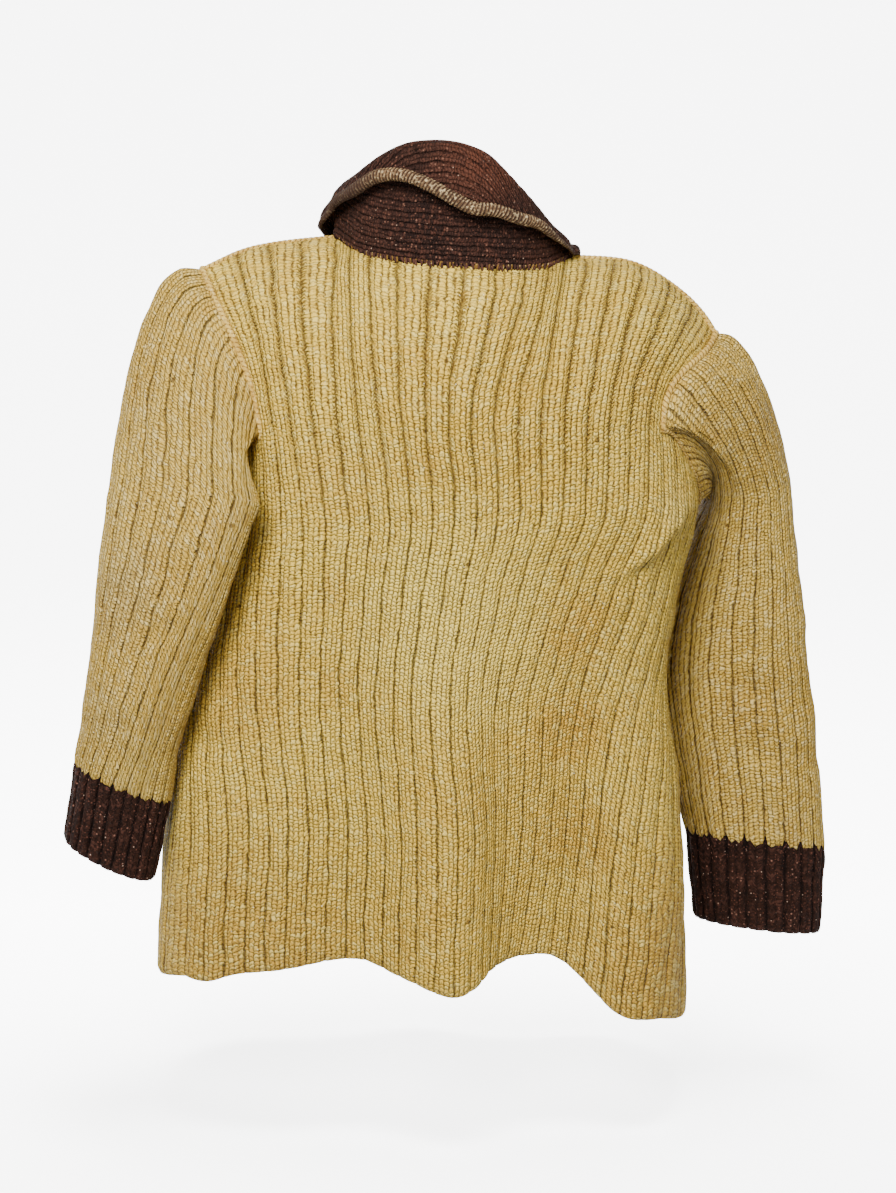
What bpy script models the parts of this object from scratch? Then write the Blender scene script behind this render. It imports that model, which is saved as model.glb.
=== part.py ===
# Heavy rib-knit sweater filled out with no wearer, its back towards -Y.
# Lengths in the tables are millimetres from the middle of the neck.
import math

import bmesh
import bpy
from mathutils import Vector

MM = 0.001

# Cloth
CLOTH = 3.2
RIB_RISE = 2.0
SEAM_GAP = 0.3
HALF_GAP = SEAM_GAP / 2
ARMHOLE_STEP = 0.4
NECK_STEP = 1.1

# Rib counts across one body panel
SIDE_RIBS = 5
SHOULDER_RIBS = 4.5
NECK_RIBS = 11
PANEL_RIBS = 2 * (SIDE_RIBS + SHOULDER_RIBS) + NECK_RIBS
STEPS_PER_RIB = 2
PANEL_COLUMNS = int(PANEL_RIBS * STEPS_PER_RIB)
YOKE_FIRST = SIDE_RIBS * STEPS_PER_RIB
YOKE_LAST = PANEL_COLUMNS - YOKE_FIRST
NECK_FIRST = YOKE_FIRST + int(SHOULDER_RIBS * STEPS_PER_RIB)
NECK_LAST = PANEL_COLUMNS - NECK_FIRST
HEM_RIB_SPREAD = 1.15
YOKE_RIB_SPREAD = 0.87

# Rows of points
LOW_ROWS = 8
YOKE_ROWS = 10
CAP_ROWS = 5
ARM_ROWS = 5
CUFF_ROWS = 2
SECTION_STEPS = 60

# Outside of the body at each height: height, left, right, back, front, squareness
BODY_SECTIONS = (
    (-760.0, -270.0, 223.0, -128.0, 126.0, 2.9),
    (-680.0, -269.0, 220.5, -128.0, 126.0, 2.9),
    (-600.0, -266.0, 218.0, -125.0, 124.0, 2.8),
    (-530.0, -259.0, 215.0, -120.0, 121.0, 2.7),
    (-456.0, -251.0, 206.0, -115.0, 118.0, 2.6),
    (-415.0, -241.0, 200.0, -113.0, 116.0, 2.5),
    (-384.0, -232.0, 198.5, -112.0, 116.0, 2.5),
    (-337.0, -218.0, 206.0, -114.0, 118.0, 2.4),
    (-275.0, -204.0, 217.0, -119.0, 122.0, 2.3),
    (-237.0, -197.0, 226.0, -122.0, 125.0, 2.3),
    (-165.0, -188.0, 212.0, -123.0, 126.0, 2.4),
    (-120.0, -186.0, 210.0, -123.0, 126.0, 2.4),
)
HEM_LEVEL = -660.0

# Hem: distance across, height
HEM_BACK = (
    (-272.0, -670.0),
    (-241.0, -654.0),
    (-214.0, -652.0),
    (-188.0, -643.0),
    (-137.0, -634.0),
    (-80.0, -628.0),
    (-42.0, -641.0),
    (2.0, -651.0),
    (24.0, -646.0),
    (40.0, -634.0),
    (84.0, -626.0),
    (102.0, -634.0),
    (124.0, -656.0),
    (150.0, -680.0),
    (190.0, -692.0),
    (223.0, -711.0),
)
HEM_FRONT = (
    (-272.0, -672.0),
    (-150.0, -655.0),
    (0.0, -660.0),
    (120.0, -674.0),
    (226.0, -712.0),
)

# Top of the low rows, where the side ribs are cast off: rib, height
YOKE_LINE = (
    (0.0, -222.0),
    (2.5, -203.0),
    (5.0, -172.0),
    (15.0, -170.0),
    (25.0, -166.0),
    (27.5, -205.0),
    (30.0, -240.0),
)

# Shoulder seams: share of the seam from the sleeve to the neck, x, y, z
SHOULDER_LEFT = (
    (0.0, -216.0, -4.0, -31.0),
    (0.3, -180.0, -6.0, -15.0),
    (0.6, -146.0, -5.0, -8.0),
    (1.0, -98.0, -4.0, -3.0),
)
SHOULDER_RIGHT = (
    (0.0, 237.0, -4.0, -87.0),
    (0.13, 223.0, -5.0, -67.0),
    (0.3, 203.0, -5.0, -48.5),
    (0.5, 176.0, -5.0, -31.0),
    (0.68, 152.0, -5.0, -23.0),
    (1.0, 108.0, -4.0, -20.0),
)

# Neck seam: share from left to right, x, y, z
NECK_BACK = (
    (0.0, -98.0, -4.0, -3.0),
    (0.21, -68.0, -50.0, -18.0),
    (0.44, -10.0, -75.0, -26.0),
    (0.64, 44.0, -72.0, -29.0),
    (0.81, 82.0, -45.0, -28.0),
    (1.0, 108.0, -4.0, -20.0),
)
NECK_FRONT = (
    (0.0, -98.0, -4.0, -3.0),
    (0.18, -76.0, 42.0, -38.0),
    (0.36, -36.0, 78.0, -64.0),
    (0.5, 4.0, 86.0, -72.0),
    (0.64, 44.0, 78.0, -70.0),
    (0.82, 84.0, 42.0, -48.0),
    (1.0, 108.0, -4.0, -20.0),
)

# How the cloth leaves the top edge: rib, inward, out, down
YOKE_TURN = (
    (5.0, 16.0, 42.0, 34.0),
    (7.0, 4.0, 62.0, 18.0),
    (9.5, 0.0, 62.0, 14.0),
    (12.0, 0.0, 44.0, 34.0),
    (15.0, 0.0, 34.0, 44.0),
    (18.0, 0.0, 44.0, 34.0),
    (20.5, 0.0, 62.0, 14.0),
    (23.0, 2.0, 60.0, 20.0),
    (25.0, 14.0, 42.0, 30.0),
)
YOKE_LIFT = 55.0

# Folds: strongest end x and z, fading end x and z, half width, rise
FOLDS_BACK = (
    (6.0, -660.0, 2.0, -240.0, 34.0, 24.0),
    (60.0, -660.0, 44.0, -430.0, 24.0, -16.0),
    (104.0, -640.0, 118.0, -300.0, 28.0, -15.0),
    (176.0, -680.0, 186.0, -270.0, 34.0, 15.0),
    (-222.0, -660.0, -196.0, -420.0, 34.0, 8.0),
    (-78.0, -640.0, -60.0, -380.0, 40.0, -9.0),
    (-150.0, -640.0, -138.0, -430.0, 24.0, 5.0),
    (214.0, -236.0, 120.0, -350.0, 17.0, 9.0),
    (200.0, -276.0, 110.0, -400.0, 15.0, -7.0),
)
FOLDS_FRONT = (
    (-30.0, -660.0, -20.0, -300.0, 38.0, 16.0),
    (60.0, -660.0, 50.0, -380.0, 30.0, -12.0),
    (-130.0, -660.0, -110.0, -360.0, 34.0, -10.0),
    (150.0, -680.0, 160.0, -330.0, 36.0, 11.0),
)

# Sleeves from the widest arm ring to the cuff: share, outer x y z, back x y,
# under x y z, front x y
SLEEVE_LEFT = (
    (0.0, -297.0, -28.0, -208.0, -184.0, -120.0, -175.0, -84.0, -236.0, -244.0, 12.0),
    (0.25, -307.0, -45.0, -285.0, -214.0, -116.0, -194.0, -84.0, -305.0, -258.0, 0.0),
    (0.5, -315.0, -52.0, -352.0, -245.0, -110.0, -214.0, -80.0, -375.0, -273.0, -8.0),
    (0.75, -325.0, -56.0, -415.0, -268.0, -106.0, -235.0, -74.0, -440.0, -286.0, -16.0),
    (1.0, -333.0, -60.0, -463.0, -288.0, -100.0, -246.0, -66.0, -497.0, -292.0, -22.0),
)
SLEEVE_RIGHT = (
    (0.0, 313.0, 22.0, -236.0, 268.0, -4.0, 230.0, 66.0, -262.0, 268.0, 100.0),
    (0.25, 322.0, 24.0, -308.0, 270.0, 6.0, 206.0, 76.0, -328.0, 264.0, 98.0),
    (0.5, 331.0, 26.0, -375.0, 270.0, 12.0, 196.0, 78.0, -395.0, 264.0, 94.0),
    (0.75, 342.0, 26.0, -455.0, 277.0, 16.0, 203.0, 74.0, -470.0, 270.0, 86.0),
    (1.0, 354.0, 26.0, -568.0, 288.0, 22.0, 226.0, 62.0, -562.0, 292.0, 66.0),
)
CUFF_LEFT_END = (-344.0, -62.0, -532.0, -302.0, -100.0, -263.0, -66.0, -570.0, -306.0, -26.0)
CUFF_RIGHT_END = (354.0, 30.0, -653.0, 292.0, 24.0, 236.0, 62.0, -648.0, 296.0, 68.0)

# How each cap leaves the armhole: outer, back, under, front
CAP_LEFT = ((-168.0, 0.0, 68.0), (-24.0, -76.0, 20.0), (-60.0, -6.0, 54.0), (-72.0, 44.0, 34.0))
CAP_RIGHT = ((112.0, 0.0, 30.0), (72.0, -38.0, 34.0), (66.0, 6.0, 60.0), (72.0, 50.0, 34.0))

# Collar: share round the neck from the left by the back, height of the fold, turned-over depth
COLLAR_SHAPE = (
    (0.0, 26.0, 5.0),
    (0.03, 42.0, 5.0),
    (0.09, 63.0, 5.0),
    (0.13, 83.0, 7.0),
    (0.17, 100.0, 17.0),
    (0.21, 105.5, 28.0),
    (0.245, 106.0, 38.0),
    (0.275, 103.0, 43.0),
    (0.305, 96.0, 37.0),
    (0.34, 78.0, 26.0),
    (0.375, 60.0, 12.0),
    (0.41, 43.0, 6.0),
    (0.46, 29.0, 5.0),
    (0.5, 25.0, 5.0),
    (0.62, 32.0, 12.0),
    (0.75, 38.0, 16.0),
    (0.88, 32.0, 12.0),
    (1.0, 26.0, 5.0),
)
COLLAR_ROLL = 7.0
COLLAR_FOOT = 6.0
SHORTEST_STAND = 14.0
COLLAR_LEAN = 0.1
FLAP_FLARE = 0.22
FULL_FLAP = 20.0
STAND_STEPS = 4
ROLL_STEPS = 3
FLAP_STEPS = 4
EDGE_ROLL_RISE = 1.6

# Finishes: linear colour, roughness
MUSTARD_KNIT = ((0.56, 0.39, 0.13, 1.0), 0.9)
BROWN_TWEED = ((0.06, 0.022, 0.014, 1.0), 0.92)


def lookup(table, key):
    keys = [row[0] for row in table]
    last = len(table) - 1
    key = min(max(key, keys[0]), keys[last])
    low = max(index for index in range(last) if keys[index] <= key)
    high = low + 1
    span = keys[high] - keys[low]
    share = (key - keys[low]) / span
    before = max(low - 1, 0)
    after = min(high + 1, last)
    values = []
    for column in range(1, len(table[0])):
        start = table[low][column]
        end = table[high][column]
        start_slope = (end - table[before][column]) / (keys[high] - keys[before]) * span
        end_slope = (table[after][column] - start) / (keys[after] - keys[low]) * span
        values.append(
            start * (1 + 2 * share) * (1 - share) ** 2
            + start_slope * share * (1 - share) ** 2
            + end * share ** 2 * (3 - 2 * share)
            - end_slope * share ** 2 * (1 - share)
        )
    return values


def spread_share(rib, spread):
    total = 2 * SIDE_RIBS * spread + PANEL_RIBS - 2 * SIDE_RIBS
    side = min(rib, SIDE_RIBS) + max(rib - PANEL_RIBS + SIDE_RIBS, 0)
    return (side * spread + rib - side) / total


def section_point(height, share, facing):
    left, right, back, front, squareness = lookup(BODY_SECTIONS, height)
    middle = (left + right) / 2
    half = (right - left) / 2
    depth = back if facing < 0 else front
    points = []
    for step in range(SECTION_STEPS + 1):
        angle = math.pi * step / SECTION_STEPS
        across = math.cos(angle)
        power = 2 / squareness
        x = middle - half * math.copysign(abs(across) ** power, across)
        points.append(Vector((x, depth * math.sin(angle) ** power, height)))
    lengths = [0.0]
    for first, second in zip(points, points[1:]):
        lengths.append(lengths[-1] + (second - first).length)
    target = share * lengths[-1]
    step = max(index for index in range(SECTION_STEPS) if lengths[index] <= target)
    part = (target - lengths[step]) / (lengths[step + 1] - lengths[step])
    return points[step].lerp(points[step + 1], part)


def fold_shift(x, z, folds):
    shift = 0.0
    for strong_x, strong_z, weak_x, weak_z, half_width, rise in folds:
        run = Vector((weak_x - strong_x, weak_z - strong_z))
        offset = Vector((x - strong_x, z - strong_z))
        along = min(max(offset.dot(run) / run.length_squared, 0.0), 1.0)
        aside = abs(offset.x * run.y - offset.y * run.x) / run.length
        shift += rise * math.exp(-(aside / half_width) ** 2) * math.cos(math.pi * along / 2) ** 2
    return shift


def low_point(rib, share, facing):
    hem_table = HEM_BACK if facing < 0 else HEM_FRONT
    folds = FOLDS_BACK if facing < 0 else FOLDS_FRONT
    hem_x = section_point(HEM_LEVEL, spread_share(rib, HEM_RIB_SPREAD), facing).x
    hem = lookup(hem_table, hem_x)[0]
    height = hem + (lookup(YOKE_LINE, rib)[0] - hem) * share
    spread = HEM_RIB_SPREAD + (YOKE_RIB_SPREAD - HEM_RIB_SPREAD) * share
    point = section_point(height, spread_share(rib, spread), facing)
    depth = lookup(BODY_SECTIONS, height)[2 if facing < 0 else 3]
    point.y += facing * fold_shift(point.x, point.z, folds) * min(abs(point.y / depth), 1.0)
    return point


def top_point(rib, facing):
    left_end = SIDE_RIBS + SHOULDER_RIBS
    right_end = left_end + NECK_RIBS
    if rib <= left_end:
        return Vector(lookup(SHOULDER_LEFT, (rib - SIDE_RIBS) / SHOULDER_RIBS))
    if rib >= right_end:
        return Vector(lookup(SHOULDER_RIGHT, (PANEL_RIBS - SIDE_RIBS - rib) / SHOULDER_RIBS))
    neck = NECK_BACK if facing < 0 else NECK_FRONT
    return Vector(lookup(neck, (rib - left_end) / NECK_RIBS))


def yoke_point(rib, share, facing):
    low = low_point(rib, 1.0, facing)
    top = top_point(rib, facing)
    inward, out, down = lookup(YOKE_TURN, rib)
    lean = inward if rib < PANEL_RIBS / 2 else -inward
    lift = Vector((0.0, 0.0, YOKE_LIFT))
    turn = Vector((lean, facing * out, -down))
    rest = 1 - share
    return (
        low * rest ** 3
        + (low + lift) * 3 * rest ** 2 * share
        + (top + turn) * 3 * rest * share ** 2
        + top * share ** 3
    )


def panel_surface(facing):
    rows = []
    for row in range(LOW_ROWS + YOKE_ROWS + 1):
        line = []
        for column in range(PANEL_COLUMNS + 1):
            rib = column / STEPS_PER_RIB
            if facing > 0:
                rib = PANEL_RIBS - rib
            if row <= LOW_ROWS:
                line.append(low_point(rib, row / LOW_ROWS, facing))
            elif YOKE_FIRST <= column <= YOKE_LAST:
                line.append(yoke_point(rib, (row - LOW_ROWS) / YOKE_ROWS, facing))
            else:
                line.append(None)
        rows.append(line)
    return rows


def neighbour(surface, row, column, closed):
    if not 0 <= row < len(surface):
        return None
    width = len(surface[row])
    if closed:
        return surface[row][column % width]
    return surface[row][column] if 0 <= column < width else None


def surface_normals(surface, closed, turned):
    rows = []
    for row, line in enumerate(surface):
        normals = []
        for column, point in enumerate(line):
            if point is None:
                normals.append(None)
                continue
            right = neighbour(surface, row, column + 1, closed) or point
            left = neighbour(surface, row, column - 1, closed) or point
            upper = neighbour(surface, row + 1, column, closed) or point
            lower = neighbour(surface, row - 1, column, closed) or point
            normal = (right - left).cross(upper - lower).normalized()
            normals.append(-normal if turned else normal)
        rows.append(normals)
    return rows


def wall_layers(surface, normals):
    outer = []
    inner = []
    for line, directions in zip(surface, normals):
        outer_line = []
        inner_line = []
        for column, (point, normal) in enumerate(zip(line, directions)):
            if point is None:
                outer_line.append(None)
                inner_line.append(None)
                continue
            groove = RIB_RISE if column % STEPS_PER_RIB == 0 else 0.0
            outer_line.append(point - normal * groove)
            inner_line.append(point - normal * (CLOTH + RIB_RISE))
        outer.append(outer_line)
        inner.append(inner_line)
    return outer, inner


def share_normal(first, first_spot, second, second_spot):
    joined = (first[first_spot[0]][first_spot[1]] + second[second_spot[0]][second_spot[1]]).normalized()
    first[first_spot[0]][first_spot[1]] = joined
    second[second_spot[0]][second_spot[1]] = joined


def pull_back(layers, row, column, next_row, next_column, distance):
    for layer in layers:
        point = layer[row][column]
        toward = (layer[next_row][next_column] - point).normalized()
        layer[row][column] = point + toward * distance


def step_off(outer_loop, inner_loop, distance, turned):
    count = len(outer_loop)
    middles = [(outer + inner) / 2 for outer, inner in zip(outer_loop, inner_loop)]
    for index in range(count):
        ahead = middles[(index + 1) % count] - middles[index - 1]
        across = outer_loop[index] - inner_loop[index]
        away = ahead.cross(across).normalized() * distance
        if turned:
            away = -away
        outer_loop[index] = outer_loop[index] + away
        inner_loop[index] = inner_loop[index] + away


def body_walls():
    back = panel_surface(-1)
    front = panel_surface(1)
    back_normals = surface_normals(back, False, False)
    front_normals = surface_normals(front, False, False)
    top = LOW_ROWS + YOKE_ROWS
    for row in range(LOW_ROWS + 1):
        share_normal(back_normals, (row, 0), front_normals, (row, PANEL_COLUMNS))
        share_normal(back_normals, (row, PANEL_COLUMNS), front_normals, (row, 0))
    for column in range(YOKE_FIRST, YOKE_LAST + 1):
        if column <= NECK_FIRST or column >= NECK_LAST:
            share_normal(back_normals, (top, column), front_normals, (top, PANEL_COLUMNS - column))
    return wall_layers(back, back_normals), wall_layers(front, front_normals), back, front


def armhole_loop(back, front, left):
    top = LOW_ROWS + YOKE_ROWS
    back_edge = YOKE_FIRST if left else YOKE_LAST
    front_edge = PANEL_COLUMNS - back_edge
    loop = [back[row][back_edge] for row in range(top, LOW_ROWS, -1)]
    side = 0 if left else PANEL_COLUMNS
    step = -1 if left else 1
    loop += [back[LOW_ROWS][column] for column in range(back_edge, side, step)]
    front_side = PANEL_COLUMNS - side
    loop += [front[LOW_ROWS][column] for column in range(front_side, front_edge, step)]
    loop += [front[row][front_edge] for row in range(LOW_ROWS, top)]
    return [point.copy() for point in loop]


def round_point(spots, angle):
    outer, back, under, front = spots
    return (
        (outer + back + under + front) / 4
        + (outer - under) / 2 * math.cos(angle)
        + (back - front) / 2 * math.sin(angle)
        + (outer - back + under - front) / 4 * math.cos(2 * angle)
    )


def ring_spots(values):
    outer_x, outer_y, outer_z, back_x, back_y, under_x, under_y, under_z, front_x, front_y = values
    middle = (outer_z + under_z) / 2
    return (
        Vector((outer_x, outer_y, outer_z)),
        Vector((back_x, back_y, middle)),
        Vector((under_x, under_y, under_z)),
        Vector((front_x, front_y, middle)),
    )


def arm_ring(spots, count):
    return [round_point(spots, 2 * math.pi * index / count) for index in range(count)]


def sleeve_surface(loop, table, cap, cuff_end):
    count = len(loop)
    first = arm_ring(ring_spots(lookup(table, 0.0)), count)
    second = arm_ring(ring_spots(lookup(table, 0.1)), count)
    leave = arm_ring([Vector(spot) for spot in cap], count)
    rows = [loop]
    for row in range(1, CAP_ROWS):
        share = row / CAP_ROWS
        line = []
        for index in range(count):
            reach = (first[index] - loop[index]).length
            arrive = (second[index] - first[index]).normalized() * reach * 0.85
            line.append(
                loop[index] * (1 + 2 * share) * (1 - share) ** 2
                + leave[index] * share * (1 - share) ** 2
                + first[index] * share ** 2 * (3 - 2 * share)
                - arrive * share ** 2 * (1 - share)
            )
        rows.append(line)
    for row in range(ARM_ROWS + 1):
        rows.append(arm_ring(ring_spots(lookup(table, row / ARM_ROWS)), count))
    end = arm_ring(ring_spots(cuff_end), count)
    start = rows[-1]
    for row in range(1, CUFF_ROWS + 1):
        rows.append([a.lerp(b, row / CUFF_ROWS) for a, b in zip(start, end)])
    return rows


def arm_walls(surface_loop, outer_loop, inner_loop, table, cap, cuff_end, turned):
    surface = sleeve_surface(surface_loop, table, cap, cuff_end)
    normals = surface_normals(surface, True, turned)
    outer, inner = wall_layers(surface, normals)
    step_off(outer_loop, inner_loop, ARMHOLE_STEP, not turned)
    outer[0] = outer_loop
    inner[0] = inner_loop
    split = CAP_ROWS + ARM_ROWS
    sleeve = (copy_rows(outer[: split + 1]), copy_rows(inner[: split + 1]))
    cuff = (copy_rows(outer[split:]), copy_rows(inner[split:]))
    for index in range(len(surface_loop)):
        pull_back(sleeve, split, index, split - 1, index, HALF_GAP)
        pull_back(cuff, 0, index, 1, index, HALF_GAP)
    return sleeve, cuff


def copy_rows(rows):
    return [[point.copy() if point else None for point in line] for line in rows]


def neck_loop(back, front):
    top = LOW_ROWS + YOKE_ROWS
    loop = [back[top][column] for column in range(NECK_FIRST, NECK_LAST)]
    loop += [front[top][column] for column in range(NECK_FIRST, NECK_LAST)]
    return [point.copy() for point in loop]


def collar_path(fold_height, flap):
    stand = max(fold_height - COLLAR_ROLL - CLOTH, SHORTEST_STAND)
    path = []
    for step in range(STAND_STEPS):
        height = COLLAR_FOOT + (stand - COLLAR_FOOT) * step / (STAND_STEPS - 1)
        path.append((-COLLAR_LEAN * height, height))
    lean = COLLAR_LEAN * stand
    for step in range(1, ROLL_STEPS + 1):
        angle = math.pi * step / ROLL_STEPS
        path.append((COLLAR_ROLL * (1 - math.cos(angle)) - lean, stand + COLLAR_ROLL * math.sin(angle)))
    for step in range(1, FLAP_STEPS + 1):
        share = step / FLAP_STEPS
        path.append((2 * COLLAR_ROLL - lean + FLAP_FLARE * flap * share, stand - flap * share))
    return path


def collar_walls(outer_loop, inner_loop):
    count = len(outer_loop)
    step_off(outer_loop, inner_loop, NECK_STEP, True)
    middles = [(outer + inner) / 2 for outer, inner in zip(outer_loop, inner_loop)]
    rows = STAND_STEPS + ROLL_STEPS + FLAP_STEPS + 1
    outer = [outer_loop] + [[None] * count for _ in range(rows - 1)]
    inner = [inner_loop] + [[None] * count for _ in range(rows - 1)]
    up = Vector((0.0, 0.0, 1.0))
    for index, middle in enumerate(middles):
        ahead = middles[(index + 1) % count] - middles[index - 1]
        out = ahead.cross(up).normalized()
        fold_height, flap = lookup(COLLAR_SHAPE, index / count)
        path = [(0.0, 0.0)] + collar_path(fold_height, flap)
        for row in range(1, rows):
            before = path[row - 1]
            after = path[min(row + 1, rows - 1)]
            along = (out * (after[0] - before[0]) + up * (after[1] - before[1])).normalized()
            side = ahead.cross(along).normalized()
            centre = middle + out * path[row][0] + up * path[row][1]
            ridge = 0.0 if row % STEPS_PER_RIB else RIB_RISE * min(flap / FULL_FLAP, 1.0)
            edge = EDGE_ROLL_RISE if row == rows - 1 else 0.0
            on_stand = row <= STAND_STEPS
            outer[row][index] = centre + side * (CLOTH / 2 + (ridge if on_stand else 0.0) + edge)
            inner[row][index] = centre - side * (CLOTH / 2 + (0.0 if on_stand else ridge) + edge)
    return outer, inner


def add_wall(name, layers, closed, material, collection):
    outer, inner = layers
    width = len(outer[0])
    mesh = bmesh.new()
    corners = {}
    for side, layer in enumerate((outer, inner)):
        for row, line in enumerate(layer):
            for column, point in enumerate(line):
                if point is not None:
                    corners[side, row, column] = mesh.verts.new(point * MM)
    cells = set()
    for row in range(len(outer) - 1):
        for column in range(width if closed else width - 1):
            beside = (column + 1) % width
            spots = ((row, column), (row, beside), (row + 1, beside), (row + 1, column))
            if all((0,) + spot in corners for spot in spots):
                cells.add((row, column))
                mesh.faces.new([corners[(0,) + spot] for spot in spots])
                mesh.faces.new([corners[(1,) + spot] for spot in reversed(spots)])
    for row, column in sorted(cells):
        beside = (column + 1) % width
        left = (column - 1) % width if closed else column - 1
        edges = (
            ((row - 1, column), (row, column), (row, beside)),
            ((row + 1, column), (row + 1, beside), (row + 1, column)),
            ((row, left), (row + 1, column), (row, column)),
            ((row, beside if closed else column + 1), (row, beside), (row + 1, beside)),
        )
        for other, start, end in edges:
            if other not in cells:
                mesh.faces.new((
                    corners[(0,) + end],
                    corners[(0,) + start],
                    corners[(1,) + start],
                    corners[(1,) + end],
                ))
    bmesh.ops.recalc_face_normals(mesh, faces=mesh.faces[:])
    for face in mesh.faces:
        face.smooth = True
    data = bpy.data.meshes.new(name)
    mesh.to_mesh(data)
    mesh.free()
    data.materials.append(material)
    collection.objects.link(bpy.data.objects.new(name, data))


def make_material(name, finish):
    colour, roughness = finish
    material = bpy.data.materials.new(name)
    material.use_nodes = True
    shader = material.node_tree.nodes["Principled BSDF"]
    shader.inputs["Base Color"].default_value = colour
    shader.inputs["Roughness"].default_value = roughness
    shader.inputs["Metallic"].default_value = 0.0
    return material


def trim_body_seams(back, front):
    top = LOW_ROWS + YOKE_ROWS
    for row in range(LOW_ROWS + 1):
        for layers in (back, front):
            pull_back(layers, row, 0, row, 1, HALF_GAP)
            pull_back(layers, row, PANEL_COLUMNS, row, PANEL_COLUMNS - 1, HALF_GAP)
    for column in range(YOKE_FIRST, YOKE_LAST + 1):
        if column <= NECK_FIRST or column >= NECK_LAST:
            for layers in (back, front):
                pull_back(layers, top, column, top - 1, column, HALF_GAP)


def build():
    for item in list(bpy.data.objects):
        bpy.data.objects.remove(item)
    collection = bpy.data.collections.new("sweater")
    bpy.context.scene.collection.children.link(collection)
    back, front, back_surface, front_surface = body_walls()
    surface_loops = [armhole_loop(back_surface, front_surface, left) for left in (True, False)]
    outer_loops = [armhole_loop(back[0], front[0], left) for left in (True, False)]
    inner_loops = [armhole_loop(back[1], front[1], left) for left in (True, False)]
    neck_outer = neck_loop(back[0], front[0])
    neck_inner = neck_loop(back[1], front[1])
    trim_body_seams(back, front)
    sleeve_left, cuff_left = arm_walls(
        surface_loops[0], outer_loops[0], inner_loops[0], SLEEVE_LEFT, CAP_LEFT, CUFF_LEFT_END, True)
    sleeve_right, cuff_right = arm_walls(
        surface_loops[1], outer_loops[1], inner_loops[1], SLEEVE_RIGHT, CAP_RIGHT, CUFF_RIGHT_END, False)
    pieces = (
        ("back", back, False, MUSTARD_KNIT),
        ("front", front, False, MUSTARD_KNIT),
        ("sleeve_left", sleeve_left, True, MUSTARD_KNIT),
        ("sleeve_right", sleeve_right, True, MUSTARD_KNIT),
        ("cuff_left", cuff_left, True, BROWN_TWEED),
        ("cuff_right", cuff_right, True, BROWN_TWEED),
        ("collar", collar_walls(neck_outer, neck_inner), True, BROWN_TWEED),
    )
    for name, layers, closed, finish in pieces:
        add_wall(name, layers, closed, make_material(name + "_cloth", finish), collection)


build()
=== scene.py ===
import math

import bpy
import numpy as np
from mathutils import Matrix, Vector, noise


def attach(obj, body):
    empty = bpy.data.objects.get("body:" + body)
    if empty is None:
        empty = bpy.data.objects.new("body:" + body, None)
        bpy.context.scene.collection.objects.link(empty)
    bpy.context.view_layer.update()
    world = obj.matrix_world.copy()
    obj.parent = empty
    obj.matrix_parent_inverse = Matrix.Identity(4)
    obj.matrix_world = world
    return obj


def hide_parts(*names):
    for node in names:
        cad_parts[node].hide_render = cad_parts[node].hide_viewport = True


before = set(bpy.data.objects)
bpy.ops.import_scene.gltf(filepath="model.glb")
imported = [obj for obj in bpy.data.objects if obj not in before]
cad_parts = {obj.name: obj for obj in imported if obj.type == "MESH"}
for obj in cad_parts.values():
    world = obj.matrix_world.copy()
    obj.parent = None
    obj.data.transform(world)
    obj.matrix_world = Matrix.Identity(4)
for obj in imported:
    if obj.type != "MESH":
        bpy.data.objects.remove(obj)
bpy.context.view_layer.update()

mm = 0.001
# noise_vector moves with this seed, which would be the clock's if it were not set
noise.seed_set(5)


# Forms in millimetres from the middle of the neck, as in the solids.
cloth = {
    "wall": 3.2,        # plain cloth under the ribs
    "ribRise": 1.5,     # how deep the groove between two ribs is
    "rowHeight": 3.7,   # one knitted row
    "seamGap": 0.3,
    "behind": 2,      # cloth behind the deepest groove
    # wave length, seed step and height of the slow unevenness
    "panelWaves": ((70, 2, 1.6), (24, 0, 1), (8, 4, 0.5)),
    "tubeWaves": ((60, 2, 1.5), (22, 0, 1.1), (8, 4, 0.5)),
}

ribs = {
    "side": 7, "leftShoulder": 4, "neck": 9.5, "rightShoulder": 5.5, "panel": 33, "sleeve": 22,
    "cuts": (0, 0.045, 0.12, 0.3, 0.5, 0.7, 0.88, 0.955),  # columns of points in a rib
}

# height, left, right, back, front, squareness
bodySections = (
    (-760, -270, 223, -128, 126, 2.9),
    (-680, -269, 220.5, -128, 126, 2.9),
    (-600, -266, 218, -125, 124, 2.8),
    (-530, -259, 215, -120, 121, 2.7),
    (-456, -251, 206, -115, 118, 2.6),
    (-415, -241, 200, -113, 116, 2.5),
    (-384, -232, 198.5, -112, 116, 2.5),
    (-337, -218, 206, -114, 118, 2.4),
    (-275, -204, 217, -119, 122, 2.3),
    (-237, -197, 226, -122, 125, 2.3),
    (-165, -188, 212, -123, 126, 2.4),
    (-120, -186, 210, -123, 126, 2.4),
)

# distance across, height
hems = {
    "back": (
        (-272, -670), (-241, -654), (-214, -652), (-188, -643), (-137, -634),
        (-80, -628), (-42, -641), (2, -651), (24, -646), (40, -634),
        (84, -626), (102, -634), (124, -656), (150, -680), (190, -692),
        (223, -711),
    ),
    "front": ((-272, -672), (-150, -655), (0, -660), (120, -674), (226, -712)),
}

# rib, height where the side ribs are cast off
yokeLine = (
    (0, -222), (3.5, -203), (7, -172), (16.5, -170), (26, -166), (29.5, -205),
    (33, -240),
)

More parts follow.
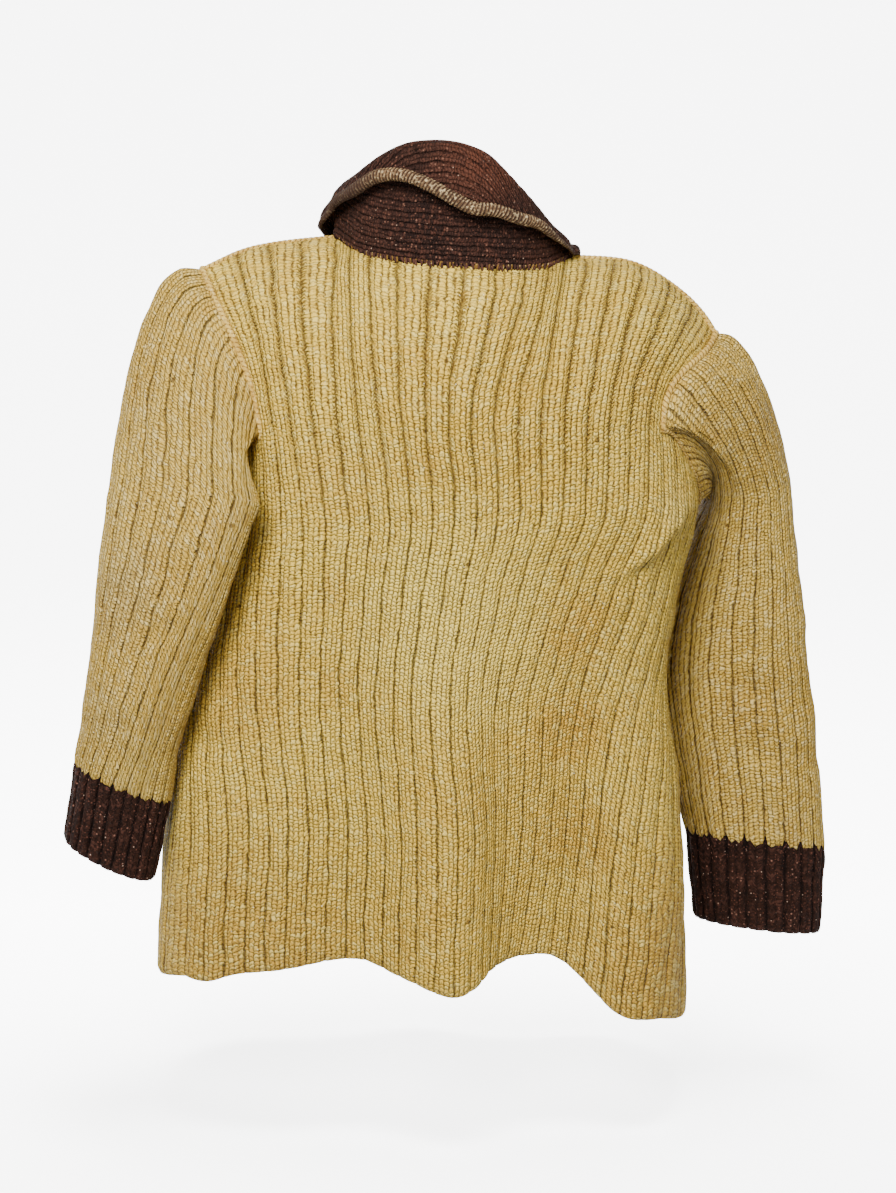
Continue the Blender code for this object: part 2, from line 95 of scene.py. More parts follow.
# rib, then its share of the outline at the hem, a third up, two thirds up and at the armholes
ribCourses = {
    "back": (
        (0, 0, 0, 0, 0), (2, 0.098, 0.092, 0.051, 0.043), (3, 0.153, 0.137, 0.076, 0.064),
        (5, 0.222, 0.204, 0.126, 0.107), (7, 0.283, 0.267, 0.189, 0.1516), (9, 0.34, 0.328, 0.268, 0.218),
        (11, 0.396, 0.387, 0.338, 0.301), (13, 0.448, 0.441, 0.4, 0.371), (15, 0.492, 0.491, 0.463, 0.444),
        (17, 0.546, 0.551, 0.526, 0.515), (18, 0.571, 0.576, 0.555, 0.551), (19, 0.587, 0.594, 0.582, 0.588),
        (20, 0.598, 0.609, 0.61, 0.625), (21, 0.609, 0.627, 0.64, 0.663), (23, 0.64, 0.676, 0.704, 0.739),
        (25, 0.685, 0.722, 0.77, 0.818), (26, 0.705, 0.744, 0.808, 0.8484), (27, 0.726, 0.768, 0.85, 0.876),
        (28, 0.752, 0.794, 0.89, 0.898), (30, 0.815, 0.861, 0.948, 0.939), (32, 0.905, 0.954, 0.983, 0.98),
        (33, 1, 1, 1, 1),
    ),
    "front": (
        (0, 0, 0, 0, 0), (7, 0.2, 0.185, 0.165, 0.1516), (16.5, 0.5, 0.5, 0.5, 0.5),
        (26, 0.8, 0.815, 0.835, 0.8484), (33, 1, 1, 1, 1),
    ),
}

# share along the seam, x, y, z
topSeams = {
    "left": ((0, -216, -4, -31), (0.3, -180, -6, -15), (0.6, -146, -5, -8),
             (1, -98, -4, -3)),
    "right": ((0, 237, -4, -87), (0.13, 223, -5, -67), (0.3, 203, -5, -48.5),
              (0.5, 176, -5, -31), (0.68, 152, -5, -23), (1, 108, -4, -20)),
    "neckBack": ((0, -98, -4, -3), (0.21, -68, -50, -18), (0.44, -10, -75, -26),
                 (0.64, 44, -72, -29), (0.81, 82, -45, -28), (1, 108, -4, -20)),
    "neckFront": ((0, -98, -4, -3), (0.18, -76, 42, -38), (0.36, -36, 78, -64),
                  (0.5, 4, 86, -72), (0.64, 44, 78, -70), (0.82, 84, 42, -48),
                  (1, 108, -4, -20)),
}

# rib, inward, out, down: how the cloth leaves the top seam
yokeTurn = (
    (7, 16, 42, 34), (9, 4, 62, 18), (11.5, 0, 62, 14), (14, 0, 44, 34),
    (16, 0, 34, 44), (18, 0, 44, 34), (20.5, 0, 62, 14), (23.5, 2, 60, 20),
    (26, 14, 42, 30),
)

# strong end x z, weak end x z, half width, rise
folds = {
    "back": (
        (6, -660, 2, -240, 34, 24), (60, -660, 44, -430, 24, -16),
        (104, -640, 118, -300, 28, -15), (176, -680, 186, -270, 34, 15),
        (-222, -660, -196, -420, 34, 8), (-78, -640, -60, -380, 40, -9),
        (-150, -640, -138, -430, 24, 5), (214, -236, 120, -350, 17, 9),
        (200, -276, 110, -400, 15, -7),
    ),
    "front": (
        (-30, -660, -20, -300, 38, 16), (60, -660, 50, -380, 30, -12),
        (-130, -660, -110, -360, 34, -10), (150, -680, 160, -330, 36, 11),
    ),
}

# share, outer x y z, back x y, under x y z, front x y
sleeves = {
    "left": (
        (0, -297, -28, -208, -184, -120, -175, -84, -236, -244, 12),
        (0.25, -307, -45, -285, -214, -116, -194, -84, -305, -258, 0),
        (0.5, -315, -52, -352, -245, -110, -214, -80, -375, -273, -8),
        (0.75, -325, -56, -415, -268, -106, -235, -74, -440, -286, -16),
        (1, -333, -60, -463, -288, -100, -246, -66, -497, -292, -22),
    ),
    "right": (
        (0, 313, 22, -236, 268, -4, 230, 66, -262, 268, 100),
        (0.25, 322, 24, -308, 270, 6, 206, 76, -328, 264, 98),
        (0.5, 331, 26, -375, 270, 12, 196, 78, -395, 264, 94),
        (0.75, 342, 26, -455, 277, 16, 203, 74, -470, 270, 86),
        (1, 354, 26, -568, 288, 22, 226, 62, -562, 292, 66),
    ),
}
cuffEnds = {
    "left": (-344, -62, -532, -302, -100, -263, -66, -570, -306, -26),
    "right": (354, 30, -653, 292, 24, 236, 62, -648, 296, 68),
}
# how each cap leaves the armhole: outer, back, under, front
caps = {
    "left": ((-168, 0, 68), (-24, -76, 20), (-60, -6, 54), (-72, 44, 34)),
    "right": ((112, 0, 30), (72, -38, 34), (66, 6, 60), (72, 50, 34)),
}

# share round the neck from the left by the back, height of the fold, turned-over depth
collarShape = (
    (0, 26, 5), (0.03, 49, 6), (0.09, 72, 8), (0.13, 89, 10), (0.17, 101, 18),
    (0.21, 105.5, 28), (0.245, 106, 38), (0.275, 103, 43), (0.305, 96, 37),
    (0.34, 78, 25), (0.375, 59, 11), (0.41, 40, 4), (0.455, 24, 3), (0.49, 14, 3),
    (0.53, 15, 4), (0.62, 29, 12), (0.75, 38, 16), (0.88, 32, 12), (1, 26, 5),
)
collar = {
    "roll": 7, "inset": 2.6, "shortestStand": 6, "lean": 0.1, "flare": 0.22, "wall": 3.4,
    "round": 760, "ribPitch": 8.6, "ribRise": 0.7,
    "stations": 264, "standSteps": 26, "rollSteps": 10, "flapSteps": 18,
}

coarse = {"lowRows": 12, "yokeRows": 12, "capRows": 8, "armRows": 8, "cuffRows": 4}
armholeSteps = 10  # coarse points down each side of an armhole, before the cast-off ribs


def hermite(start, leave, end, arrive, share):
    return (
        start * (1 + 2 * share) * (1 - share) ** 2
        + leave * share * (1 - share) ** 2
        + end * share ** 2 * (3 - 2 * share)
        - arrive * share ** 2 * (1 - share)
    )


def lookup(table, key):
    # a smooth curve through the rows of a table, by their first column
    keys = [row[0] for row in table]
    last = len(table) - 1
    key = min(max(key, keys[0]), keys[last])
    low = max(index for index in range(last) if keys[index] <= key)
    high = low + 1
    before, after = max(low - 1, 0), min(high + 1, last)
    span = keys[high] - keys[low]
    values = []
    for column in range(1, len(table[0])):
        start, end = table[low][column], table[high][column]
        leave = (end - table[before][column]) / (keys[high] - keys[before]) * span
        arrive = (table[after][column] - start) / (keys[after] - keys[low]) * span
        values.append(hermite(start, leave, end, arrive, (key - keys[low]) / span))
    return values


def sectionPoint(height, share, facing):
    left, right, back, front, squareness = lookup(bodySections, height)
    middle = (left + right) / 2
    half = (right - left) / 2
    depth = back if facing < 0 else front
    power = 2 / squareness
    angles = np.linspace(0, math.pi, 61)
    across = np.cos(angles)
    x = middle - half * np.sign(across) * np.abs(across) ** power
    y = depth * np.abs(np.sin(angles)) ** power
    lengths = np.concatenate(([0], np.cumsum(np.hypot(np.diff(x), np.diff(y)))))
    target = share * lengths[-1]
    return Vector((np.interp(target, lengths, x), np.interp(target, lengths, y), height))


def foldShift(x, z, rows):
    shift = 0
    for strongX, strongZ, weakX, weakZ, halfWidth, rise in rows:
        run = Vector((weakX - strongX, weakZ - strongZ))
        offset = Vector((x - strongX, z - strongZ))
        along = min(max(offset.dot(run) / run.length_squared, 0), 1)
        aside = abs(offset.x * run.y - offset.y * run.x) / run.length
        shift += rise * math.exp(-(aside / halfWidth) ** 2) * math.cos(math.pi * along / 2) ** 2
    return shift


def lowPoint(rib, share, facing):
    side = "back" if facing < 0 else "front"
    course = lookup(ribCourses[side], rib)
    hem = lookup(hems[side], sectionPoint(-660, course[0], facing).x)[0]
    height = hem + (lookup(yokeLine, rib)[0] - hem) * share
    point = sectionPoint(height, lookup(list(enumerate(course)), share * 3)[0], facing)
    depth = lookup(bodySections, height)[2 if facing < 0 else 3]
    point.y += facing * foldShift(point.x, point.z, folds[side]) * min(abs(point.y / depth), 1)
    return point


def topPoint(rib, facing):
    leftEnd = ribs["side"] + ribs["leftShoulder"]
    rightEnd = leftEnd + ribs["neck"]
    if rib <= leftEnd:
        return Vector(lookup(topSeams["left"], (rib - ribs["side"]) / ribs["leftShoulder"]))
    if rib >= rightEnd:
        share = (ribs["panel"] - ribs["side"] - rib) / ribs["rightShoulder"]
        return Vector(lookup(topSeams["right"], share))
    neckLine = topSeams["neckBack" if facing < 0 else "neckFront"]
    return Vector(lookup(neckLine, (rib - leftEnd) / ribs["neck"]))


def yokePoint(rib, share, facing):
    low = lowPoint(rib, 1, facing)
    top = topPoint(rib, facing)
    inward, out, down = lookup(yokeTurn, rib)
    lean = inward if rib < ribs["panel"] / 2 else -inward
    rest = 1 - share
    return (
        low * rest ** 3
        + (low + (low - lowPoint(rib, 0.9, facing)).normalized() * 55) * 3 * rest ** 2 * share
        + (top + Vector((lean, facing * out, -down))) * 3 * rest * share ** 2
        + top * share ** 3
    )


def panelGrids(facing):
    # coarse points, two columns a rib: the whole width below the armholes, the middle above
    def ribOf(column):
        return column / 2 if facing < 0 else ribs["panel"] - column / 2

    whole = range(2 * ribs["panel"] + 1)
    middle = range(2 * ribs["side"], 2 * (ribs["panel"] - ribs["side"]) + 1)
    low = [[lowPoint(ribOf(column), row / coarse["lowRows"], facing) for column in whole]
           for row in range(coarse["lowRows"] + 1)]
    yoke = [[yokePoint(ribOf(column), row / coarse["yokeRows"], facing) for column in middle]
            for row in range(coarse["yokeRows"] + 1)]
    return np.array(low, dtype=float), np.array(yoke, dtype=float)


def cubicWeights(t):
    return (
        -0.5 * t ** 3 + t ** 2 - 0.5 * t,
        1.5 * t ** 3 - 2.5 * t ** 2 + 1,
        -1.5 * t ** 3 + 2 * t ** 2 + 0.5 * t,
        0.5 * t ** 3 - 0.5 * t ** 2,
    )


def sampleLine(grid, at, closed):
    # grid (n, ...), at (m,) places in grid steps
    count = len(grid)
    base = np.floor(at).astype(int)
    if not closed:
        base = np.clip(base, 0, count - 2)
        grid = np.concatenate((2 * grid[:1] - grid[1:2], grid, 2 * grid[-1:] - grid[-2:-1]))
    t = at - base
    total = 0
    for offset, weight in zip((-1, 0, 1, 2), cubicWeights(t)):
        index = (base + offset) % count if closed else base + offset + 1
        total = total + grid[index] * weight.reshape((-1,) + (1,) * (grid.ndim - 1))
    return total


def sampleGrid(grid, rowAt, columnAt, closed):
    # places may differ from point to point, so a rib can wander and an edge can be ragged
    rowAt, columnAt = np.broadcast_arrays(rowAt, columnAt)
    rows, columns = grid.shape[:2]
    grid = np.concatenate((2 * grid[:1] - grid[1:2], grid, 2 * grid[-1:] - grid[-2:-1]))
    rowBase = np.clip(np.floor(rowAt).astype(int), 0, rows - 2)
    if closed:
        columnAt = columnAt % columns
        columnBase = np.minimum(np.floor(columnAt).astype(int), columns - 1)
        grid = np.concatenate((grid[:, -1:], grid, grid[:, :2]), axis=1)
    else:
        columnBase = np.clip(np.floor(columnAt).astype(int), 0, columns - 2)
        first, last = 2 * grid[:, :1] - grid[:, 1:2], 2 * grid[:, -1:] - grid[:, -2:-1]
        grid = np.concatenate((first, grid, last), axis=1)
    total = 0
    for rowStep, rowWeight in enumerate(cubicWeights(rowAt - rowBase)):
        for columnStep, columnWeight in enumerate(cubicWeights(columnAt - columnBase)):
            corner = grid[rowBase + rowStep, columnBase + columnStep]
            total = total + corner * (rowWeight * columnWeight)[..., None]
    return total


def ringSpots(values):
    outerX, outerY, outerZ, backX, backY, underX, underY, underZ, frontX, frontY = values
    middle = (outerZ + underZ) / 2
    spots = ((outerX, outerY, outerZ), (backX, backY, middle), (underX, underY, underZ),
             (frontX, frontY, middle))
    return [Vector(spot) for spot in spots]


def armRing(spots, count):
    outer, back, under, front = spots
    middle = count // 2
    ring = []
    for index in range(count):
        step = min(index, count - index)
        quarters = min(step / armholeSteps, 1) + max(step - armholeSteps, 0) / (middle - armholeSteps)
        angle = quarters * math.pi / 2
        if index > middle:
            angle = -angle
        ring.append(
            (outer + back + under + front) / 4
            + (outer - under) / 2 * math.cos(angle)
            + (back - front) / 2 * math.sin(angle)
            + (outer - back + under - front) / 4 * math.cos(2 * angle)
        )
    return ring


def armholeLoop(panels, left):
    # every coarse point round the armhole: down the back edge, under the arm, up the front edge
    (backLow, backYoke), (frontLow, frontYoke) = panels
    last = 2 * ribs["panel"]
    side = 2 * ribs["side"]
    downAt = np.linspace(coarse["yokeRows"], 0, armholeSteps + 1)[:-1]
    backColumn = 0 if left else backYoke.shape[1] - 1
    frontColumn = frontYoke.shape[1] - 1 if left else 0
    down = sampleLine(backYoke[:, backColumn], downAt, False)
    up = sampleLine(frontYoke[:, frontColumn], downAt[::-1] - downAt[-1], False)
    if left:
        under = np.concatenate((backLow[-1, side:0:-1], frontLow[-1, last:last - side:-1]))
    else:
        under = np.concatenate((backLow[-1, last - side:last], frontLow[-1, 0:side]))
    return [Vector(point) for point in np.concatenate((down, under, up))]


def sleeveGrid(loop, side):
    count = len(loop)
    table = sleeves[side]
    first = armRing(ringSpots(lookup(table, 0)), count)
    second = armRing(ringSpots(lookup(table, 0.1)), count)
    leave = armRing([Vector(spot) for spot in caps[side]], count)
    rows = [loop]
    for row in range(1, coarse["capRows"]):
        share = row / coarse["capRows"]
        line = []
        for index in range(count):
            reach = (first[index] - loop[index]).length
            arrive = (second[index] - first[index]).normalized() * reach * 0.85
            line.append(hermite(loop[index], leave[index], first[index], arrive, share))
        rows.append(line)
    for row in range(coarse["armRows"] + 1):
        rows.append(armRing(ringSpots(lookup(table, row / coarse["armRows"])), count))
    end = armRing(ringSpots(cuffEnds[side]), count)
    start = rows[-1]
    for row in range(1, coarse["cuffRows"] + 1):
        rows.append([a.lerp(b, row / coarse["cuffRows"]) for a, b in zip(start, end)])
    return np.array(rows, dtype=float)


def gridNormals(points, closed, turned):
    if closed:
        along = np.roll(points, -1, axis=1) - np.roll(points, 1, axis=1)
    else:
        along = np.gradient(points, axis=1)
    up = np.gradient(points, axis=0)
    normals = np.cross(along, up)
    normals /= np.linalg.norm(normals, axis=2, keepdims=True) + 1e-9
    return -normals if turned else normals


def waver(points, pitch, seed):
    # smooth noise from -1 to 1, one value a point
    flat = points.reshape(-1, 3)
    shift = Vector((seed * 7.3, seed * 3.1, seed * 5.7))
    values = [noise.noise(Vector(point) / pitch + shift) for point in flat]
    return np.array(values).reshape(points.shape[:-1])


def ribRelief(ribAt, depth):
    # depth below the crown of a rib, narrow at the groove and softly rounded on top
    away = np.abs(ribAt - np.round(ribAt))
    return depth * (0.78 * np.exp(-(away / 0.085) ** 2) + 0.22 * np.exp(-(away / 0.22) ** 2))


def edgeDip(distance, reach, depth):
    return depth * np.exp(-(distance / reach) ** 2)


def makeCloth(name, outer, inner, mask, uv, closed):
    # outer and inner (rows, columns, 3) in mm; uv (rows, columns + 1, 2)
    rows, columns = outer.shape[:2]
    index = -np.ones((2, rows, columns), dtype=int)
    count = int(mask.sum())
    index[0][mask] = np.arange(count)
    index[1][mask] = np.arange(count) + count
    verts = np.concatenate((outer[mask], inner[mask])) * mm
    wide = columns if closed else columns - 1
    beside = (np.arange(wide) + 1) % columns
    whole = mask[:-1, :wide] & mask[1:, :wide] & mask[:-1, beside] & mask[1:, beside]
    faces = []
    corners = []
    for row in range(rows - 1):
        for column in range(wide):
            if not whole[row, column]:
                continue
            right = (column + 1) % columns
            spots = ((row, column), (row, right), (row + 1, right), (row + 1, column))
            flat = (uv[row, column], uv[row, column + 1], uv[row + 1, column + 1], uv[row + 1, column])
            faces.append([index[0][spot] for spot in spots])
            corners.extend(flat)
            faces.append([index[1][spot] for spot in reversed(spots)])
            corners.extend(reversed(flat))
            sides = (
                (row - 1, column, 0, 1), (row + 1, column, 2, 3),
                (row, column - 1, 3, 0), (row, column + 1, 1, 2),
            )
            for otherRow, otherColumn, first, second in sides:
                if closed:
                    otherColumn %= wide
                inside = 0 <= otherRow < rows - 1 and 0 <= otherColumn < wide
                if inside and whole[otherRow, otherColumn]:
                    continue
                a, b = spots[first], spots[second]
                faces.append([index[0][b], index[0][a], index[1][a], index[1][b]])
                corners.extend((flat[second], flat[first], flat[first], flat[second]))
    return faceOut(meshPiece(name, verts.tolist(), faces, corners))


def meshPiece(name, verts, faces, corners=None, strands=None):
    mesh = bpy.data.meshes.new(name)
    mesh.from_pydata(verts, [], faces)
    layer = mesh.uv_layers.new(name="knit")
    if corners:
        layer.data.foreach_set("uv", np.array(corners, dtype=np.float32).ravel())
    if strands:
        mesh.attributes.new("strand", "FLOAT", "POINT").data.foreach_set("value", strands)
    mesh.polygons.foreach_set("use_smooth", [True] * len(mesh.polygons))
    mesh.update()
    piece = bpy.data.objects.new(name, mesh)
    bpy.context.scene.collection.objects.link(piece)
    return piece


def faceOut(piece):
    # a closed shell with a negative volume is inside out
    mesh = piece.data
    mesh.calc_loop_triangles()
    spots = np.zeros(len(mesh.vertices) * 3)
    mesh.vertices.foreach_get("co", spots)
    spots = spots.reshape(-1, 3)
    tris = np.zeros(len(mesh.loop_triangles) * 3, dtype=int)
    mesh.loop_triangles.foreach_get("vertices", tris)
    tris = tris.reshape(-1, 3)
    first, second, third = (spots[tris[:, corner]] for corner in range(3))
    if np.einsum("ij,ij->i", first, np.cross(second, third)).sum() < 0:
        mesh.flip_normals()
    return piece


def ribColumns(count):
    return np.array([rib + cut for rib in range(count) for cut in ribs["cuts"]] + [count])


def wander(rowLength, ribAt, first, last, seed):
    # sideways drift of each groove, in ribs, none at the two edges
    drift = np.zeros((len(rowLength), len(ribAt)))
    for row, length in enumerate(rowLength):
        for column, rib in enumerate(ribAt):
            spot = Vector((round(rib * 2) / 2 * 3.7 + seed, length / 42, seed * 1.3))
            drift[row, column] = noise.noise(spot) * 0.085 + noise.noise(spot * 2.9) * 0.035
    fade = np.clip(np.minimum(ribAt - first, last - ribAt) / 1.5, 0, 1)
    return drift * fade


def crease(points, normals, rows, seamSpots):
    # soft uneven troughs (negative) and ridges along short lines in the cloth, none right at a seam
    shift = np.zeros(points.shape[:2])
    for start, end, halfWidth, rise in rows:
        start, end = np.array(start), np.array(end)
        run = end - start
        offset = points - start
        along = np.clip((offset @ run) / (run @ run), 0, 1)
        aside = np.linalg.norm(offset - along[..., None] * run, axis=2)
        swell = 0.75 + 0.25 * np.sin(along * 9 + halfWidth)
        taper = np.sin(math.pi * np.clip(along * 0.84 + 0.08, 0, 1)) ** 0.7
        spread = halfWidth * (0.8 + 0.4 * along)
        shift += 1.6 * rise * swell * taper * np.exp(-(aside / spread) ** 2)
    nearest = np.full(shift.shape, 1e9)
    for spot in seamSpots:
        nearest = np.minimum(nearest, np.linalg.norm(points - spot, axis=2))
    shift *= np.clip((nearest - 2) / 18, 0, 1)
    return points + normals * shift[..., None]


# start, end, half width, rise
creases = {
    "back": (
        ((206, -60, -150), (228, -20, -232), 13, 5), ((196, -70, -262), (128, -118, -330), 9, -4.5),
        ((208, -60, -240), (150, -110, -300), 9, 4.5), ((192, -70, -300), (140, -110, -380), 10, 3.5),
        ((-188, -70, -190), (-150, -105, -215), 10, -3.5), ((-150, -100, -60), (-90, -118, -120), 16, -3),
        ((60, -118, -90), (120, -112, -150), 18, 2.5), ((212, -60, -380), (180, -95, -420), 11, -4),
        ((-238, -60, -430), (-190, -104, -450), 12, -3.5), ((-20, -130, -300), (40, -130, -345), 18, -2),
        ((200, -80, -330), (205, -80, -620), 8, 3), ((100, -120, -420), (112, -120, -640), 12, -4),
    ),
    "front": (
        ((-200, 60, -260), (-130, 115, -330), 10, -4.5), ((205, 60, -255), (140, 112, -330), 10, -4.5),
        ((190, 80, -300), (120, 118, -400), 12, 3.5), ((-120, 118, -120), (-60, 120, -200), 16, -2.5),
        ((60, 122, -120), (110, 118, -190), 16, 2.5), ((-210, 80, -420), (-170, 112, -460), 12, -3.5),
        ((-60, 122, -330), (20, 124, -380), 18, -2), ((30, 126, -420), (50, 128, -640), 12, -4),
    ),
    "left": (
        ((-200, -118, -200), (-250, -110, -240), 9, -4), ((-196, -116, -235), (-262, -108, -290), 10, 3.5),
        ((-220, -112, -330), (-290, -104, -350), 10, -3.5), ((-250, -106, -400), (-310, -92, -410), 10, 3),
        ((-262, 10, -300), (-220, -10, -330), 10, -4), ((-240, -100, -120), (-262, -80, -180), 9, -3),
        ((-290, -100, -440), (-260, -98, -470), 8, -3),
    ),
    "right": (
        ((240, 30, -290), (300, 10, -330), 10, -3.5), ((262, 12, -340), (322, 18, -352), 9, 3.5),
        ((250, 10, -400), (320, 12, -425), 11, -3.5), ((262, 14, -470), (336, 18, -480), 11, -4),
        ((270, 18, -500), (330, 20, -512), 10, 3), ((250, -20, -120), (285, -14, -190), 10, 3),
        ((230, -40, -130), (262, -24, -200), 8, -3.5), ((270, 96, -300), (300, 80, -360), 11, -4),
    ),
}


def endRows(count, length):
    # even rows, with closer ones at both ends for a rolled edge
    even = np.linspace(0, 1, count)
    close = np.array([1.2, 2.8, 5]) / length
    return np.unique(np.round(np.concatenate((even, close, 1 - close)), 5))


def stitchUv(points, ribAt, closed):
    # u counts ribs and v counts knitted rows; a last column closes a tube
    lengths = np.linalg.norm(np.diff(points, axis=0), axis=2)
    down = np.concatenate((np.zeros((1, points.shape[1])), np.cumsum(lengths, axis=0)))
    down = down / cloth["rowHeight"]
    down = np.concatenate((down, down[:, :1] if closed else down[:, -1:]), axis=1)
    across = ribAt if closed else np.append(ribAt, ribAt[-1])
    return np.stack((np.broadcast_to(across, down.shape), down), axis=2)


def slowWaves(points, rows, seed):
    return sum(waver(points, pitch, seed + step) * rise for pitch, step, rise in rows)


def freeSeam(layers, pairs):
    # draws an edge row back from its seam, towards the row beside it
    gap = cloth["seamGap"] / 2
    for layer in layers:
        for row, nextRow in pairs:
            step = layer[nextRow] - layer[row]
            layer[row] += step / (np.linalg.norm(step, axis=1, keepdims=True) + 1e-9) * gap


def makePanel(name, facing, grids, seed):
    low, yoke = grids
    ribAt = ribColumns(ribs["panel"])
    lowRows = endRows(66, 460)[:-3]
    lowRows = np.append(lowRows[lowRows < 1], 1)
    yokeRows = endRows(30, 190)[4:]
    yokeRows = yokeRows[yokeRows > 0]
    last = ribs["panel"] - ribs["side"]
    inYoke = (ribAt >= ribs["side"]) & (ribAt <= last)
    lowHeight, yokeHeight = 470, 170  # along the cloth, for the drift of the ribs
    lowDrift = wander(lowRows * lowHeight, ribAt, 0, ribs["panel"], seed)
    lowDrift *= np.clip((1 - lowRows) * 4, 0, 1)[:, None]
    yokeDrift = wander(lowHeight + yokeRows * yokeHeight, ribAt[inYoke], ribs["side"], last, seed)
    yokeDrift *= np.clip(np.minimum(yokeRows, 1 - yokeRows) * 5, 0, 1)[:, None]
    lowPoints = sampleGrid(low, lowRows[:, None] * coarse["lowRows"], (ribAt + lowDrift) * 2, False)
    yokeAt = (ribAt[inYoke] + yokeDrift - ribs["side"]) * 2
    yokePart = sampleGrid(yoke, yokeRows[:, None] * coarse["yokeRows"], yokeAt, False)
    rows = len(lowRows) + len(yokeRows)
    points = np.zeros((rows, len(ribAt), 3))
    points[:len(lowRows)] = lowPoints
    points[len(lowRows):] = lowPoints[-1]
    points[len(lowRows):, inYoke] = yokePart
    mask = np.ones((rows, len(ribAt)), dtype=bool)
    mask[len(lowRows):, ~inYoke] = False
    normals = gridNormals(points, False, False)
    # the yoke's side columns take their neighbours' direction, since what is beside them is no cloth
    firstIn = int(np.argmax(inYoke))
    lastIn = len(ribAt) - 1 - int(np.argmax(inYoke[::-1]))
    yokeNormals = gridNormals(points[:, firstIn:lastIn + 1], False, False)
    normals[len(lowRows):, firstIn:lastIn + 1] = yokeNormals[len(lowRows):]
    lowNormals = gridNormals(lowPoints, False, False)
    outside = np.ones(len(ribAt), dtype=bool)
    outside[firstIn:lastIn + 1] = False
    normals[:len(lowRows), outside] = lowNormals[:, outside]
    uneven = slowWaves(points, cloth["panelWaves"], seed)
    depth = cloth["ribRise"] * (1 + 0.35 * waver(points, 45, seed + 9))
    relief = ribRelief(np.broadcast_to(ribAt, mask.shape), depth)
    fromHem = np.linalg.norm(points - points[0], axis=2)
    fromTop = np.linalg.norm(points - points[-1], axis=2)
    relief = relief * (0.25 + 0.75 * np.clip(fromTop / 9, 0, 1))
    relief = relief * (0.6 + 0.4 * np.clip((-150 - points[..., 2]) / 80, 0, 1))
    dip = edgeDip(fromHem, 2.6, 1.8) + edgeDip(fromTop, 2, 0.5)
    edgeLines = (low[:, 0], low[:, -1], yoke[:, 0], yoke[:, -1], yoke[-1],
                 low[-1, :2 * ribs["side"] + 1], low[-1, -2 * ribs["side"] - 1:])
    seamSpots = np.concatenate([
        sampleLine(line, np.linspace(0, len(line) - 1, 45), False) for line in edgeLines])
    points = crease(points, normals, creases["back" if facing < 0 else "front"], seamSpots)
    outer = points + normals * (uneven - relief - dip)[..., None]
    inner = points - normals * (cloth["wall"] + cloth["behind"] - edgeDip(fromHem, 2.6, 1.2))[..., None]
    inner += normals * (uneven * 0.6)[..., None]
    freeSeam((outer, inner), ((-1, -2),))
    return makeCloth(name, outer, inner, mask, stitchUv(points, ribAt, False), False)


def makeTube(name, grid, rowAt, capEnd, turned, seed, ribDepth, topDip, endDip):
    # a part of the whole sleeve, whose ribs run straight up into the cap's seam and not square to it
    ribAt = ribColumns(ribs["sleeve"])
    count = ribs["sleeve"]
    quarter = count / 4
    join = coarse["capRows"] + coarse["armRows"]
    rowAt = np.array(rowAt)[:, None]
    at = ribAt[None, :-1]
    rising = np.clip(1 - rowAt / (coarse["capRows"] + 3), 0, 1) ** 1.6
    drift = wander(rowAt[:, 0] * 30, ribAt[:-1], -9, count + 9, seed) * np.clip(rowAt / 3, 0, 1)
    atJoin = np.clip(abs(rowAt - join) * 2, 0, 1)
    at = at - 2.5 * np.sin(2 * math.pi * at / count) * rising + drift * atJoin
    # the coarse columns are closer together under the arm
    near = np.minimum(at % count, count - at % count)
    under = armholeSteps + (near - quarter) / quarter * (grid.shape[1] / 2 - armholeSteps)
    step = np.where(near <= quarter, near / quarter * armholeSteps, under)
    columnAt = np.where(at % count <= count / 2, step, grid.shape[1] - step)
    # where cuff and sleeve meet, the dark yarn climbs into each groove
    away = np.abs(at - np.round(at))
    ragged = 0.17 * np.exp(-(away / 0.12) ** 2) + 0.05 * np.sin(at * 17 + seed)
    ragged = ragged + 0.04 * np.sin(at * 41)
    rowAt = rowAt - ragged * np.exp(-((rowAt - join) / 0.3) ** 2)
    points = sampleGrid(grid, rowAt, columnAt, True)
    normals = gridNormals(points, True, turned)
    uneven = slowWaves(points, cloth["tubeWaves"], seed)
    depth = ribDepth * (1 + 0.35 * waver(points, 40, seed + 9))
    relief = ribRelief(np.broadcast_to(ribAt[:-1], points.shape[:2]), depth)
    fromTop = np.linalg.norm(points - points[0], axis=2)
    if capEnd:
        relief = relief * (0.3 + 0.7 * np.clip(fromTop / 12, 0, 1))
        seamSpots = np.concatenate((grid[0], grid[join]))
        points = crease(points, normals, creases["left" if turned else "right"], seamSpots)
    fromEnd = np.linalg.norm(points - points[-1], axis=2)
    dip = edgeDip(fromTop, 3, topDip) + edgeDip(fromEnd, 2.6, endDip)
    hold = 1 - np.exp(-(fromTop / 6) ** 2)
    outer = points + normals * (uneven * hold - relief - dip)[..., None]
    inner = points - normals * (cloth["wall"] + cloth["behind"] - uneven * 0.6 * hold)[..., None]
    freeSeam((outer, inner), ((0, 1), (-1, -2)))
    mask = np.ones(points.shape[:2], dtype=bool)
    return makeCloth(name, outer, inner, mask, stitchUv(points, ribAt, True), True)


